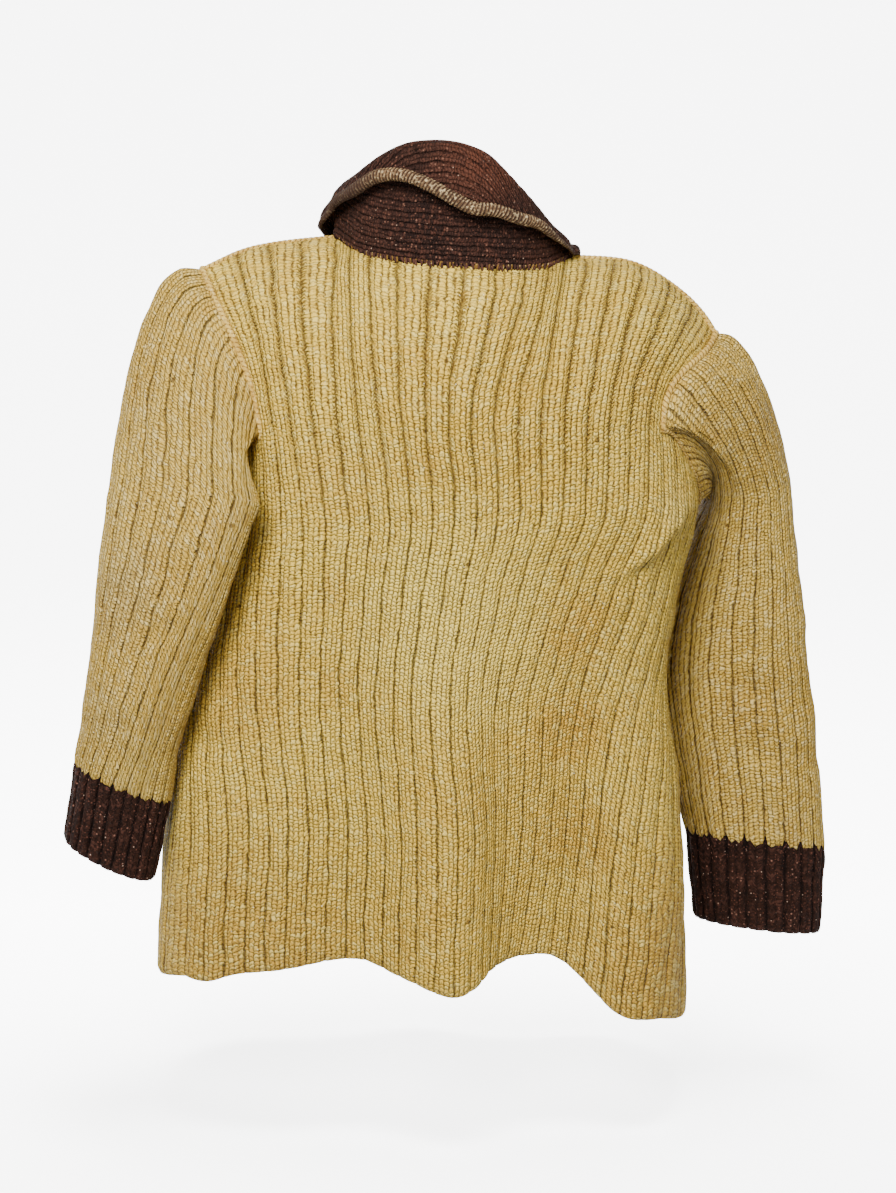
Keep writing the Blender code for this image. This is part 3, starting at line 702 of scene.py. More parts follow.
def collarPath(foldHeight, flap):
    roll = min(collar["roll"], foldHeight * 0.26)
    stand = max(foldHeight - roll - 3.2, collar["shortestStand"])
    path = []
    for step in range(collar["standSteps"]):
        height = stand * step / (collar["standSteps"] - 1)
        path.append((-collar["lean"] * height, height))
    lean = collar["lean"] * stand
    for step in range(1, collar["rollSteps"] + 1):
        angle = math.pi * step / collar["rollSteps"]
        path.append((roll * (1 - math.cos(angle)) - lean, stand + roll * math.sin(angle)))
    for step in range(1, collar["flapSteps"] + 1):
        share = step / collar["flapSteps"]
        path.append((2 * roll - lean + collar["flare"] * flap * share, stand - flap * share))
    return path


def makeCollar(panels):
    (_, backYoke), (_, frontYoke) = panels
    steps = int(2 * ribs["neck"])
    start, frontStart = int(2 * ribs["leftShoulder"]), int(2 * ribs["rightShoulder"])

    def around(backRow, frontRow):
        return np.concatenate((backRow[start:start + steps], frontRow[frontStart:frontStart + steps]))

    edge = around(backYoke[-1], frontYoke[-1])
    below = around(backYoke[-2], frontYoke[-2])
    lift = around(*(gridNormals(yoke, False, False)[-1] for yoke in (backYoke, frontYoke)))
    lift[0] = lift[1] + lift[-1]
    half = len(edge) // 2
    lift[half] = lift[half - 1] + lift[half + 1]
    lift /= np.linalg.norm(lift, axis=1, keepdims=True)
    at = np.arange(collar["stations"]) / collar["stations"] * len(edge)
    middles = sampleLine(edge - lift * collar["inset"], at, True)
    up = Vector((0, 0, 1))
    rows = len(collarPath(50, 10))
    outer = np.zeros((rows, collar["stations"], 3))
    inner = np.zeros_like(outer)
    uv = np.zeros((rows, collar["stations"] + 1, 2))
    flapEdge = []
    for index in range(collar["stations"]):
        ahead = Vector(middles[(index + 1) % collar["stations"]] - middles[index - 1])
        out = ahead.cross(up).normalized()
        share = index / collar["stations"]
        foldHeight, flap = lookup(collarShape, share)
        path = collarPath(foldHeight, flap)
        run = 0
        middle = Vector(middles[index])
        for row in range(rows):
            before = path[max(row - 1, 0)]
            after = path[min(row + 1, rows - 1)]
            along = (out * (after[0] - before[0]) + up * (after[1] - before[1])).normalized()
            side = ahead.cross(along).normalized()
            if row:
                run += math.hypot(path[row][0] - path[row - 1][0], path[row][1] - path[row - 1][1])
            centre = middle + out * path[row][0] + up * (path[row][1] + 0.6)
            ribAt = run / collar["ribPitch"] + 0.35 * noise.noise(Vector((share * 9, run / 60, 2)))
            rib = float(ribRelief(np.array(ribAt), collar["ribRise"]))
            full = min(flap / 20, 1) if row > collar["standSteps"] else 1
            puff = 0.7 * noise.noise(centre / 14)
            thick = collar["wall"] / 2
            settle = min(run / 6, 1)
            edgeRoll = math.exp(-((rows - 1 - row) / 2.5) ** 2) * -0.6
            onStand = row <= collar["standSteps"] + collar["rollSteps"] // 2
            crown = collar["ribRise"] - rib
            outerSide = thick + edgeRoll + settle * (crown + puff if onStand else 0)
            innerSide = thick + edgeRoll + settle * (0 if onStand else crown * full + puff * full)
            outer[row, index] = centre + side * outerSide
            inner[row, index] = centre - side * innerSide
            uv[row, index] = (ribAt, share * collar["round"] / cloth["rowHeight"])
        flapEdge.append((middle + out * path[-1][0] + up * (path[-1][1] + 0.6), out))
    uv[:, -1] = uv[:, 0]
    uv[:, -1, 1] += collar["round"] / cloth["rowHeight"]
    mask = np.ones((rows, collar["stations"]), dtype=bool)
    return makeCloth("collarKnit", outer, inner, mask, uv, True), flapEdge, (edge, below, lift)


def makeCord(name, path, radii, sides, twists, twistDepth, closed):
    # a yarn or rolled edge along a path, in mm; "strand" is 1 on top of a strand, 0 between two
    count = len(path)
    verts = []
    strands = []
    uv = []
    length = 0
    for index, point in enumerate(path):
        if closed:
            ahead = path[(index + 1) % count] - path[index - 1]
        else:
            ahead = path[min(index + 1, count - 1)] - path[max(index - 1, 0)]
        if index:
            length += (point - path[index - 1]).length
        ahead.normalize()
        side = ahead.cross(Vector((0, 0, 1)))
        if side.length < 0.05:
            side = ahead.cross(Vector((0, 1, 0)))
        side.normalize()
        top = side.cross(ahead).normalized()
        for turn in range(sides):
            angle = 2 * math.pi * turn / sides
            strand = math.cos(2 * angle - twists * length)
            radius = radii[index] * (1 + twistDepth * strand)
            verts.append((point + side * math.cos(angle) * radius + top * math.sin(angle) * radius) * mm)
            strands.append(0.5 + 0.5 * strand)
        uv.append(length)
    faces = []
    corners = []
    span = count if closed else count - 1
    for index in range(span):
        after = (index + 1) % count
        start = uv[index] / cloth["rowHeight"]
        end = (uv[after] if after else length + (path[0] - path[-1]).length) / cloth["rowHeight"]
        for turn in range(sides):
            beside = (turn + 1) % sides
            faces.append((index * sides + turn, index * sides + beside,
                          after * sides + beside, after * sides + turn))
            low, high = turn / sides * 2, (turn + 1) / sides * 2
            corners.extend(((low, start), (high, start), (high, end), (low, end)))
    if not closed:
        faces.append(tuple(range(sides))[::-1])
        faces.append(tuple((count - 1) * sides + turn for turn in range(sides)))
        corners.extend([(0, 0)] * sides * 2)
    return faceOut(meshPiece(name, verts, faces, corners, strands))


def makeStitches(name, edge, below, normals, count, seed, downward, reach, radius):
    # short ends of yarn laid over a seam: edge, a row below it and the way out, all as closed loops
    verts = []
    faces = []
    sides = 5
    for index in range(count):
        chance = noise.noise_vector(Vector((index * 1.7, seed, 0.3)))
        at = np.array([(index + 0.5 + chance.x * 0.8) / count * len(edge)]) % len(edge)
        point = Vector(sampleLine(edge, at, True)[0])
        down = (Vector(sampleLine(below, at, True)[0]) - point).normalized()
        out = Vector(sampleLine(normals, at, True)[0]).normalized()
        along = out.cross(down).normalized()
        length = reach * (0.75 + 0.9 * chance.y)
        lean = along * (chance.z * 3 + 0.8)
        if downward:
            spots = (point - down * 3 + out * 0.6, point - down * 0.5 + out * 1.3,
                     point + down * length * 0.5 + out * 1.1, point + down * length - out * 0.6)
        else:
            spots = (point + down * 2.5 - out * 0.2, point + out * 1,
                     point - down * length * 0.5 + out * 1.9, point - down * length + out * 0.4)
        start = len(verts)
        for step, spot in enumerate(spots):
            ahead = (spots[min(step + 1, 3)] - spots[max(step - 1, 0)]).normalized()
            side = ahead.cross(out).normalized()
            top = side.cross(ahead)
            thick = radius * (1, 1.1, 0.95, 0.45)[step]
            for turn in range(sides):
                angle = 2 * math.pi * turn / sides
                base = spot + lean * step / 3
                verts.append((base + side * math.cos(angle) * thick + top * math.sin(angle) * thick) * mm)
        for step in range(3):
            for turn in range(sides):
                beside = (turn + 1) % sides
                low = start + step * sides
                faces.append((low + turn, low + beside, low + sides + beside, low + sides + turn))
        faces.append(tuple(start + turn for turn in range(sides))[::-1])
        faces.append(tuple(start + 3 * sides + turn for turn in range(sides)))
    return faceOut(meshPiece(name, verts, faces))


def hexColour(code):
    # an sRGB hex value as linear numbers
    parts = [int(code[index:index + 2], 16) / 255 for index in (0, 2, 4)]
    linear = [part / 12.92 if part <= 0.04045 else ((part + 0.055) / 1.055) ** 2.4 for part in parts]
    return (*linear, 1)


def addNode(tree, kind, inputs=None, **settings):
    node = tree.nodes.new(kind)
    for key, value in settings.items():
        setattr(node, key, value)
    for key, value in (inputs or {}).items():
        if isinstance(value, bpy.types.NodeSocket):
            tree.links.new(value, node.inputs[key])
        else:
            node.inputs[key].default_value = value
    return node


def startMaterial(name):
    material = bpy.data.materials.new(name)
    material.use_nodes = True
    return material, material.node_tree, material.node_tree.nodes["Principled BSDF"]


def startNodes(tree):
    # the place on the cloth and short ways to add the sums, ramps, mixes and noises of a tree
    place = addNode(tree, "ShaderNodeTexCoord").outputs["Object"]

    def maths(operation, first, second=0):
        return addNode(tree, "ShaderNodeMath", {0: first, 1: second}, operation=operation).outputs[0]

    def ramp(value, low, high, start=0, end=1):
        return addNode(
            tree, "ShaderNodeMapRange", {0: value, 1: low, 2: high, 3: start, 4: end},
            interpolation_type="SMOOTHSTEP").outputs[0]

    def mix(share, first, second):
        # a colour given in hex is turned linear
        second = hexColour(second) if isinstance(second, str) else second
        first = hexColour(first) if isinstance(first, str) else first
        return addNode(tree, "ShaderNodeMix", {0: share, 6: first, 7: second}, data_type="RGBA").outputs[2]

    def noiseAt(scale, detail, roughness=0.55):
        settings = {"Vector": place, "Scale": scale, "Detail": detail, "Roughness": roughness}
        return addNode(tree, "ShaderNodeTexNoise", settings).outputs["Fac"]

    return place, maths, ramp, mix, noiseAt


def finishMaterial(tree, shader, colour, height, distance, gloss):
    # wool is matt, and its stitches and fibres stand out as bump
    bump = addNode(tree, "ShaderNodeBump", {"Height": height[0], "Strength": height[1], "Distance": distance})
    tree.links.new(colour, shader.inputs["Base Color"])
    tree.links.new(bump.outputs[0], shader.inputs["Normal"])
    shader.inputs["Roughness"].default_value = 0.92
    shader.inputs["Specular IOR Level"].default_value = gloss


def knitMaterial(name, look):
    # Thick carded wool, knitted: plump matt stitches in columns, thin gaps between them darkened as painted
    # shade, a deeper groove beside each rib, also darkened as painted shade, and short fibres that blur the
    # whole surface.
    material, tree, shader = startMaterial(name)
    place, maths, ramp, mix, noiseAt = startNodes(tree)

    def times(first, second):
        return maths("MULTIPLY", first, second)

    flat = addNode(tree, "ShaderNodeUVMap", uv_map="knit").outputs[0]
    parts = addNode(tree, "ShaderNodeSeparateXYZ", {0: flat})
    heightUp = addNode(tree, "ShaderNodeSeparateXYZ", {0: place}).outputs[2]

    def swing(value, amount):
        return times(maths("SUBTRACT", value, 0.5), amount)

    def fromMiddle(value):
        # 0 in the middle of each cell, 1 at its edges
        return times(maths("ABSOLUTE", maths("SUBTRACT", maths("FRACT", value), 0.5)), 2)

    def without(value, share=1):
        return maths("SUBTRACT", 1, times(value, share))

    rib = maths("ADD", parts.outputs[0], swing(noiseAt(28, 2), look["drift"]))
    rib = maths("ADD", rib, swing(noiseAt(150, 2), look["sway"]))
    rib = maths("ADD", rib, swing(noiseAt(360, 2), look["fuzz"]))
    row = maths("ADD", parts.outputs[1], swing(noiseAt(85, 2), 2.2))
    row = maths("ADD", row, swing(noiseAt(300, 2), 1.1))
    across = times(rib, look["columns"])
    columnId = maths("FLOOR", across)
    side = fromMiddle(across)
    start = addNode(tree, "ShaderNodeTexWhiteNoise", {"W": columnId}, noise_dimensions="1D").outputs[0]
    shifted = maths("ADD", maths("ADD", row, start), times(side, 0.3))
    rowId = maths("FLOOR", shifted)
    end = fromMiddle(shifted)
    cell = addNode(tree, "ShaderNodeCombineXYZ", {0: columnId, 1: rowId}).outputs[0]
    chance = addNode(tree, "ShaderNodeTexWhiteNoise", {"Vector": cell}, noise_dimensions="2D").outputs[0]

    fibre = noiseAt(1300, 3, 0.7)
    tuft = noiseAt(310, 4, 0.65)
    patchy = ramp(noiseAt(90, 4, 0.6), 0.36, 0.6, 0.1, 1)
    away = maths("PINGPONG", rib, 0.5)
    # the groove beside each rib, for the bump and for painted shade in broken dark lines
    width = times(ramp(noiseAt(60, 3), 0.3, 0.7, 0.45, 1.35), look["groove"])
    groove = without(ramp(maths("DIVIDE", away, width), 0.25, 1))
    # painted shade: darker lines between the stitch columns and rows, and darker pits where they meet
    columnLine = times(ramp(side, 0.5, 0.96), ramp(noiseAt(230, 3), 0.36, 0.58, 0.2, 1))
    pit = times(ramp(side, 0.5, 0.92), ramp(end, 0.4, 0.92))
    rowLine = times(ramp(end, 0.5, 0.95), ramp(noiseAt(170, 3), 0.36, 0.6, 0.15, 1))
    plump = times(without(maths("POWER", side, 2.6)), without(maths("POWER", end, 2.6), look["rowCut"]))

    ladder = 0
    if "ladder" in look:
        # above a height, purl stitches show as a ladder of short bars beside each rib, with painted shade in
        # the gaps between the bars
        zone = times(ramp(heightUp, *look["ladder"]), ramp(noiseAt(16, 2), 0.36, 0.5, 0.45, 1))
        band = times(without(ramp(away, 0.1, 0.19)), zone)
        bent = maths("ADD", row, times(maths("SINE", times(rib, 26)), 0.4))
        zigzag = times(maths("PINGPONG", bent, 0.5), 2)
        ladder = times(band, ramp(zigzag, 0.25, 0.75, 0.12, 1))
        groove = times(groove, without(zone, 0.75))
        columnLine = times(columnLine, maths("ADD", 1, times(zone, 0.3)))
        rowLine = times(rowLine, without(zone, 0.55))

    height = maths("ADD", times(plump, 0.75), times(tuft, 0.55))
    height = maths("ADD", height, times(fibre, 0.3))
    height = maths("ADD", height, times(chance, 0.2))
    height = maths("SUBTRACT", height, times(groove, 0.8))
    height = maths("SUBTRACT", height, times(ladder, 0.6))
    height = maths("SUBTRACT", height, times(pit, 0.4))

    colour = mix(ramp(noiseAt(6, 4), 0.36, 0.66), look["mid"], look["light"])
    cloudy = noiseAt(26, 5, 0.65)
    colour = mix(times(ramp(cloudy, 0.5, 0.74), 0.6), colour, look["shade"])
    # spots of another colour with ragged edges: some stains, and painted light and shade, with lit bulges
    # painted lighter and folds, lower parts, a sleeve behind the body and the collar's stand under its flap
    # painted darker
    for spot, radius, tint, share in look["stainsAndPaintedLight"]:
        apart = addNode(tree, "ShaderNodeVectorMath", {0: place, 1: spot}, operation="DISTANCE")
        ragged = maths("ADD", apart.outputs["Value"], swing(cloudy, radius * 0.9))
        colour = mix(times(ramp(ragged, radius, radius * 0.15), share), colour, tint)
    # random pale and dark fibres, then painted shade between rows, between columns, in the pits and in the
    # grooves
    layers = [
        (ramp(chance, 0.55, 1), look["heather"], "pale"),
        (ramp(tuft, 0.5, 0.7), look["heather"], "pale"),
        (ramp(tuft, 0.48, 0.3), look["heather"], "dark"),
        (rowLine, look["rowShade"], "dark"),
        (columnLine, look["columnShade"], "gap"),
        (pit, look["pitShade"], "gap"),
        (times(groove, patchy), look["grooveShade"], "deep"),
    ]
    if "ladder" in look:
        # painted shade in the ladder's gaps
        layers.append((ladder, look["ladderShade"], "gap"))
    for cover, share, tint in layers:
        colour = mix(times(cover, share), colour, look[tint])
    for size, radius, few, tint in look["specks"]:
        cells = addNode(tree, "ShaderNodeTexVoronoi", {"Vector": place, "Scale": size}, feature="F1")
        keep = addNode(tree, "ShaderNodeSeparateColor", {0: cells.outputs["Color"]}).outputs[0]
        dot = without(ramp(cells.outputs["Distance"], radius * 0.5, radius))
        colour = mix(times(times(dot, maths("GREATER_THAN", keep, few)), 0.8), colour, tint)
    finishMaterial(tree, shader, colour, (height, 1), look["bump"], look["gloss"])
    shader.inputs["Sheen Weight"].default_value = look["sheen"]
    shader.inputs["Sheen Roughness"].default_value = 0.45
    shader.inputs["Sheen Tint"].default_value = hexColour(look["pale"])
    return material


# specks: how many to a metre, radius in cells, share left out, colour
mustardLook = {
    # gap and deep are painted shade for the gaps, pits, ladder and grooves; dark serves random dark fibres
    # and painted shade between rows
    "light": "EAC752", "mid": "DDB546", "shade": "C89B3B", "pale": "EFD678", "dark": "957124",
    "gap": "5E4115", "deep": "41290C", "grooveShade": 0.62, "groove": 0.08, "columns": 4, "pitShade": 0.6,
    "drift": 0.16, "sway": 0.12, "fuzz": 0.13, "heather": 0.6, "columnShade": 0.7,
    "rowShade": 0.55, "rowCut": 0.85,
    "bump": 0.0025, "sheen": 0.08, "gloss": 0.15, "ladder": (-0.24, -0.17), "ladderShade": 0.75,
    "stainsAndPaintedLight": (
        # darker amber down the recessed fold at the lower right, partly a stain and partly painted shade of
        # the fold, then a slightly darker patch high on the left
        ((0.112, -0.12, -0.34), 0.055, "BC8628", 0.6), ((0.114, -0.12, -0.42), 0.06, "B88226", 0.75),
        ((0.118, -0.12, -0.52), 0.06, "BC8A2C", 0.7), ((-0.10, -0.13, -0.20), 0.06, "CFA24C", 0.4),
        # painted highlights: the lit middle of the back and the lit bulge beside the right armhole
        ((-0.005, -0.13, -0.33), 0.13, "FADB66", 0.9), ((0.207, -0.07, -0.237), 0.04, "F8D870", 0.6),
        # painted shade: the lower corners and the left side darker, where less light reaches
        ((-0.19, -0.10, -0.62), 0.17, "BD9038", 0.75),
        ((0.19, -0.10, -0.64), 0.13, "BD8F38", 0.7), ((-0.18, -0.10, -0.40), 0.08, "C79C40", 0.5),
    ),
    "specks": ((55, 0.16, 0.9, "5A3F18"), (260, 0.3, 0.92, "6B4E22"), (300, 0.26, 0.95, "F6E7BC")),
}
# the body's yarn painted darker as shade on the sleeves, without the ladder
shadedSleeveLook = dict(
    mustardLook, light="D8B554", mid="C9A446", shade="B38A3B", pale="E6CE84",
    stainsAndPaintedLight=(
        # greyer, darker patches down the outer side of the left sleeve
        ((-0.30, -0.10, -0.30), 0.075, "A08C5C", 0.6), ((-0.315, -0.10, -0.42), 0.05, "A89156", 0.5),
        # painted shade on the right sleeve where it lies behind the body
        ((0.29, 0, -0.17), 0.07, "A37F36", 0.55), ((0.27, 0, -0.43), 0.05, "A98238", 0.5),
    ),
)
del shadedSleeveLook["ladder"]
tweedLook = {
    # gap and deep are painted shade here too; dark serves dark fibres and painted shade between rows
    "light": "29170F", "mid": "1F110C", "shade": "160C08", "pale": "4A2E25", "dark": "120806",
    "gap": "100705", "deep": "0A0403", "stainsAndPaintedLight": (), "grooveShade": 0.8, "groove": 0.16, "columns": 2,
    "pitShade": 0.3, "drift": 0.1, "sway": 0.2, "fuzz": 0.15, "heather": 0.65, "columnShade": 0.5,
    "rowShade": 0.5, "rowCut": 0.8,
    "bump": 0.0018, "sheen": 0.03, "gloss": 0.08,
    "specks": ((260, 0.3, 0.8, "8E6454"), (210, 0.17, 0.8, "C4A592"), (420, 0.4, 0.66, "5E3A2E")),
}
collarLook = dict(
    tweedLook, light="3F2820", mid="33211B", shade="261814", grooveShade=0.3, heather=0.8, groove=0.2,
    columnShade=0.25, rowShade=0.35, sway=0.4, drift=0.3,
    specks=((300, 0.34, 0.72, "7E5848"), (230, 0.16, 0.78, "BE9E8A"), (420, 0.4, 0.6, "5A3A2E")),
    # painted shadow on the collar's stand under its flap, then a redder, lighter tone on the flap
    stainsAndPaintedLight=(((-0.03, -0.10, 0), 0.085, "1A1312", 0.85), ((0.05, -0.09, -0.01), 0.06, "1C1513", 0.7),
            ((0.03, -0.09, 0.065), 0.06, "62392A", 0.7)),
)


def yarnMaterial(name, look):
    # Plied wool yarn whipped over an edge: round strands with painted shade in the gaps between them, hairy
    # and matt.
    material, tree, shader = startMaterial(name)
    place, maths, ramp, mix, noiseAt = startNodes(tree)
    strand = addNode(tree, "ShaderNodeAttribute", attribute_name="strand").outputs["Fac"]
    tuft = noiseAt(420, 4, 0.5)
    across = addNode(tree, "ShaderNodeSeparateXYZ", {0: place}).outputs[0]
    colour = mix(ramp(noiseAt(45, 3, 0.5), 0.35, 0.65), look["shade"], look["light"])
    # painted shade where two strands meet
    colour = mix(ramp(strand, look["gapAt"], 0.05), colour, look["gap"])
    colour = mix(ramp(tuft, 0.56, 0.7, 0, 0.7), colour, look["pale"])
    crown = maths("MULTIPLY", ramp(strand, 0.7, 1), ramp(tuft, 0.4, 0.58))
    colour = mix(maths("MULTIPLY", crown, look["crown"]), colour, look["pale"])
    colour = mix(ramp(tuft, 0.42, 0.3, 0, 0.6), colour, look["gap"])
    for low, high, tint in look.get("darkAt", ()):
        colour = mix(ramp(across, low, high, 0, 0.85), colour, tint)
    finishMaterial(tree, shader, colour, (tuft, 0.9), 0.0012, 0.2)
    return material


mustardKnit = knitMaterial("mustardWoolRibKnit", mustardLook)
shadedSleeveKnit = knitMaterial("mustardWoolSleeveKnit", shadedSleeveLook)
brownTweed = knitMaterial("brownTweedWoolKnit", tweedLook)
collarTweed = knitMaterial("collarTweedWoolKnit", collarLook)
mustardYarn = yarnMaterial("mustardWoolYarn", {
    "light": "D0AE58", "shade": "B49042", "gap": "6E5020", "pale": "E4CE8C", "gapAt": 0.5, "crown": 0})
brownYarn = yarnMaterial("brownWoolYarn", {
    "light": "44291F", "shade": "301D16", "gap": "20100C", "pale": "6E4A3A", "gapAt": 0, "crown": 0})
tanEdge = yarnMaterial("tanWoolWhipping", {
    "light": "6A5036", "shade": "4A3625", "gap": "22150E", "pale": "D2BA8E", "gapAt": 0.45, "crown": 0.5,
    "darkAt": ((-0.045, -0.085, "2A1A14"), (0.09, 0.11, "2A1A14"))})
print("materials made")


def dress(piece, material, node):
    piece.data.materials.append(material)
    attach(piece, "root")
    if node:
        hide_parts(node)
    return piece


backGrids = panelGrids(-1)
frontGrids = panelGrids(1)
panels = (backGrids, frontGrids)
backPanel = makePanel("backKnit", -1, backGrids, 1)
frontPanel = makePanel("frontKnit", 1, frontGrids, 2)
dress(backPanel, mustardKnit, "back")
dress(frontPanel, mustardKnit, "front")
print("panels made", len(backPanel.data.polygons))

seams = {
    "stations": 380, "lift": 0.2, "radius": 2.7, "uneven": 0.22, "pressed": 0.6, "sides": 10,
    "twists": 1.35, "twistDepth": 0.13,
    "shoulderStations": 90, "shoulderDrop": 0.9, "shoulderRadius": 2.3, "shoulderTwistDepth": 0.12,
}
cuffs = {"rows": 16, "length": 80, "ribRise": 2.6, "topDip": 0.4, "endDip": 1.6}
arms = {"rows": 64, "length": 480, "topDip": 0.3, "endDip": 0.6}


def armSeam(name, loop, outward):
    # a rounded seam round the armhole, thinner under the arm, where it is pressed flat
    at = np.arange(seams["stations"]) / seams["stations"] * len(loop)
    path = [Vector(point) for point in sampleLine(np.array(loop) + outward * seams["lift"], at, True)]
    under = np.clip(np.minimum(at - armholeSteps, len(loop) - armholeSteps - at) / 3, 0, 1)
    radii = [
        seams["radius"] * (1 + seams["uneven"] * noise.noise(point / 14)) * (1 - seams["pressed"] * flat)
        for point, flat in zip(path, under)
    ]
    return makeCord(name, path, radii, seams["sides"], seams["twists"], seams["twistDepth"], True)


normalPanels = [[gridNormals(part, False, False) for part in pair] for pair in panels]
for side, turned, seed in (("left", True, 3), ("right", False, 5)):
    loop = armholeLoop(panels, side == "left")
    grid = sleeveGrid(loop, side)
    join = coarse["capRows"] + coarse["armRows"]
    armRows = endRows(arms["rows"], arms["length"]) * join
    arm = makeTube(side + "SleeveKnit", grid, armRows, True, turned, seed,
                   cloth["ribRise"], arms["topDip"], arms["endDip"])
    cuffRows = join + endRows(cuffs["rows"], cuffs["length"]) * coarse["cuffRows"]
    cuff = makeTube(side + "CuffKnit", grid, cuffRows, False, turned, seed,
                    cuffs["ribRise"], cuffs["topDip"], cuffs["endDip"])
    outward = np.array(armholeLoop(normalPanels, side == "left"))
    outward += gridNormals(grid, True, turned)[0] * 0.8
    outward /= np.linalg.norm(outward, axis=1, keepdims=True)
    seam = armSeam(side + "ArmSeam", loop, outward)
    dress(arm, shadedSleeveKnit, "sleeve_" + side)
    dress(cuff, brownTweed, "cuff_" + side)
    dress(seam, mustardYarn, None)
print("sleeves made")

collarPiece, flapEdge, (neckEdge, neckBelow, neckOut) = makeCollar(panels)
dress(collarPiece, collarTweed, "collar")
# thick where it shows on the flap, thin at the neck's two ends and round the front
rolled = {
    "thickness": (
        (0, 2.2), (0.03, 3.6), (0.06, 4.6), (0.1, 5.2), (0.3, 5.4), (0.36, 4.8), (0.395, 3.6),
        (0.425, 1.8), (0.46, 1), (0.7, 1.8), (1, 2.2),
    ),
    "out": 0.4, "finer": 4, "uneven": 0.6, "sides": 16, "twists": 2.1, "twistDepth": 0.06,
}
edgePath = np.array([point + out * rolled["out"] for point, out in flapEdge])
edgeAt = np.arange(rolled["finer"] * len(edgePath)) / rolled["finer"]
edgePath = [Vector(point) for point in sampleLine(edgePath, edgeAt, True)]
edgeRadii = [
    lookup(rolled["thickness"], index / len(edgePath))[0] + rolled["uneven"] * noise.noise(point / 18)
    for index, point in enumerate(edgePath)
]
rolledEdge = makeCord("collarRolledEdge", edgePath, edgeRadii,
                      rolled["sides"], rolled["twists"], rolled["twistDepth"], True)
dress(rolledEdge, tanEdge, None)

# count, seed, whether they reach down, reach, radius
neckEnds = {"brown": (150, 3, True, 4.5, 1.15), "cream": (110, 8, False, 3.2, 0.9)}
neckSeam = (neckEdge, neckBelow, neckOut)
brownEnds = makeStitches("neckStitchesBrown", *neckSeam, *neckEnds["brown"])
creamEnds = makeStitches("neckStitchesCream", *neckSeam, *neckEnds["cream"])
dress(brownEnds, brownYarn, None)
dress(creamEnds, mustardYarn, None)

# shoulder seams, from armhole to neck
topEdge = backGrids[1][-1]
for side, line in (("left", topEdge[:2 * ribs["leftShoulder"] + 1]),
                   ("right", topEdge[-1 - int(2 * ribs["rightShoulder"]):])):
    at = np.linspace(0, len(line) - 1, seams["shoulderStations"])
    drop = Vector((0, 0, seams["shoulderDrop"]))
    path = [Vector(point) - drop for point in sampleLine(line, at, False)]
    radii = [seams["shoulderRadius"]] * len(path)
    cord = makeCord(side + "ShoulderSeam", path, radii,
                    seams["sides"], seams["twists"], seams["shoulderTwistDepth"], False)
    dress(cord, mustardYarn, None)
print("collar and seams made")

# a lit sweep, as behind the garment in the picture
stage = {
    "floorZ": -0.79, "nearY": -4.2, "wallY": 4.2, "wallTop": 5, "halfWidth": 7, "curve": 1.2,
    "colour": "F6F6F7", "glowFrom": -0.7, "glowTo": 0.5, "nearGlow": 0.02, "glow": 6.4, "air": 0.42,
}
# place, aim, size, watts, tint
lamps = {
    "keyLamp": ((-0.45, -1.75, 1), (0, 0, -0.25), 0.9, 104, (1, 0.98, 0.95)),
    "floorLamp": ((0, -0.05, 1.9), (0, -0.05, -0.8), 1.1, 290, (1, 1, 1)),
    "fillLamp": ((2.2, -2.2, 0.6), (0, 0, -0.35), 2, 22, (0.96, 0.98, 1)),
}


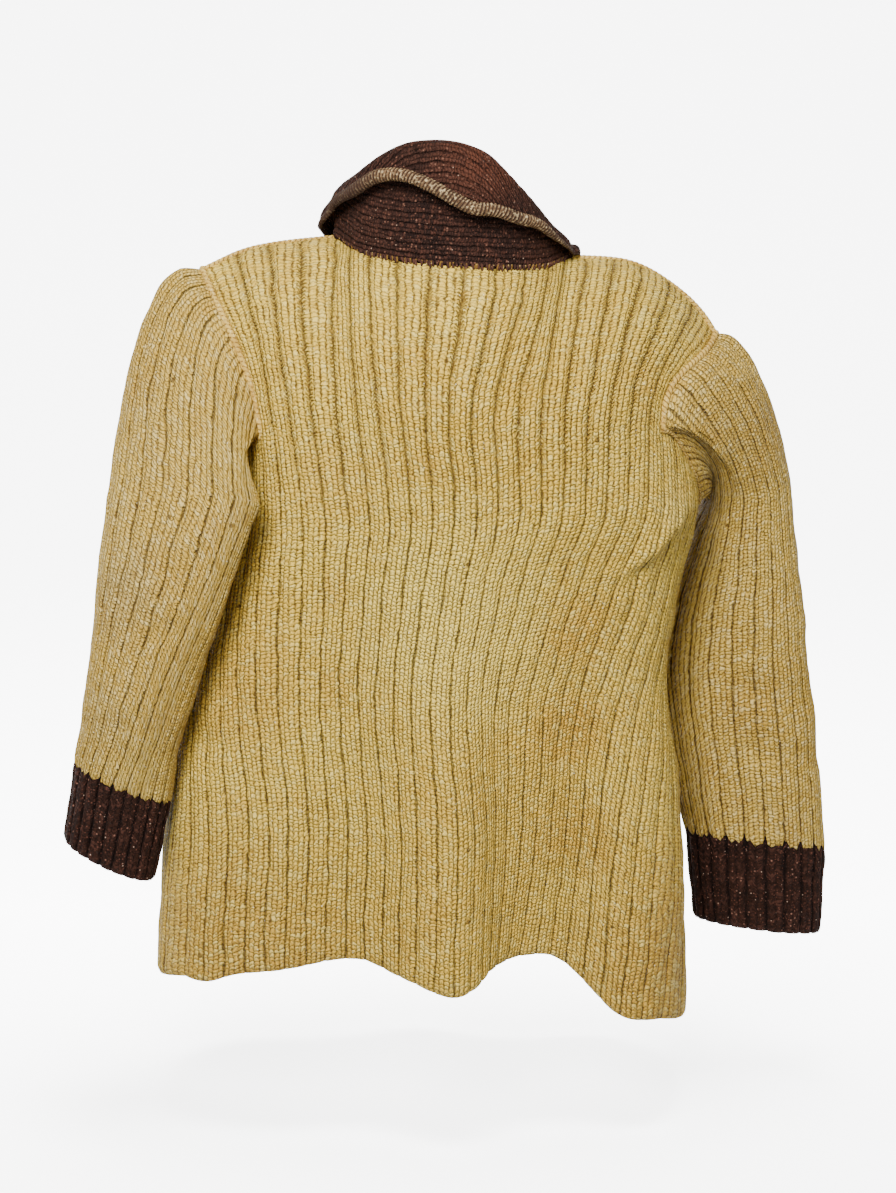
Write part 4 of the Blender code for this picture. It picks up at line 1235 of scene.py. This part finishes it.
def makeStage():
    wall, curve = stage["wallY"], stage["curve"]
    profile = [(stage["nearY"], 0)]
    for step in range(13):
        angle = math.pi / 2 * step / 12
        profile.append((wall - curve + curve * math.sin(angle), curve - curve * math.cos(angle)))
    profile.append((wall, stage["wallTop"]))
    count = len(profile)
    half, floorZ = stage["halfWidth"], stage["floorZ"]
    verts = [(x, y, floorZ + z) for x in (-half, half) for y, z in profile]
    faces = [(index, index + count, index + count + 1, index + 1) for index in range(count - 1)]
    floor = meshPiece("studioFloor", verts, faces)
    # Matt pale paper: its far part glows evenly, and the near part hardly does.
    material, tree, shader = startMaterial("paleFloor")
    shader.inputs["Base Color"].default_value = hexColour(stage["colour"])
    shader.inputs["Roughness"].default_value = 0.9
    shader.inputs["Emission Color"].default_value = (1, 1, 1, 1)
    place = addNode(tree, "ShaderNodeTexCoord").outputs["Object"]
    far = addNode(tree, "ShaderNodeSeparateXYZ", {0: place}).outputs[1]
    glow = addNode(tree, "ShaderNodeMapRange", {
        0: far, 1: stage["glowFrom"], 2: stage["glowTo"], 3: stage["nearGlow"], 4: stage["glow"]})
    tree.links.new(glow.outputs[0], shader.inputs["Emission Strength"])
    floor.data.materials.append(material)
    floor.visible_diffuse = False  # its glow makes the pale backdrop and stays off the cloth
    onlyFloor = bpy.data.collections.new("floorOnly")
    onlyFloor.objects.link(floor)
    return onlyFloor


def addLamp(name, spot, aim, size, power, tint):
    data = bpy.data.lights.new(name, "AREA")
    data.shape = "RECTANGLE"
    data.size = data.size_y = size
    data.energy = power
    data.color = tint
    lamp = bpy.data.objects.new(name, data)
    lamp.location = spot
    lamp.rotation_euler = (Vector(aim) - Vector(spot)).to_track_quat("-Z", "Y").to_euler()
    bpy.context.scene.collection.objects.link(lamp)
    return lamp


floorOnly = makeStage()
studio = {name: addLamp(name, *row) for name, row in lamps.items()}
# the floor lamp lights the floor alone, so the garment's shadow shows on it
studio["floorLamp"].light_linking.receiver_collection = floorOnly
world = bpy.data.worlds.new("studioAir")
world.use_nodes = True
world.node_tree.nodes["Background"].inputs[0].default_value = (1, 1, 1, 1)
world.node_tree.nodes["Background"].inputs[1].default_value = stage["air"]
bpy.context.scene.world = world

view = {"distance": 1.9, "pitch": 10, "targetZ": -0.325, "pixels": 1.9 / 0.000907, "frameHeight": 1193}
cameraData = bpy.data.cameras.new("photoCamera")
cameraData.sensor_fit = "VERTICAL"
cameraData.sensor_height = 36
cameraData.lens = 36 * view["pixels"] / view["frameHeight"]
camera = bpy.data.objects.new("photoCamera", cameraData)
pitch = math.radians(view["pitch"])
camera.location = (
    0, -view["distance"] * math.cos(pitch), view["targetZ"] + view["distance"] * math.sin(pitch))
camera.rotation_euler = (math.pi / 2 - pitch, 0, 0)
bpy.context.scene.collection.objects.link(camera)
bpy.context.scene.camera = camera
print("stage, lamps and camera set")
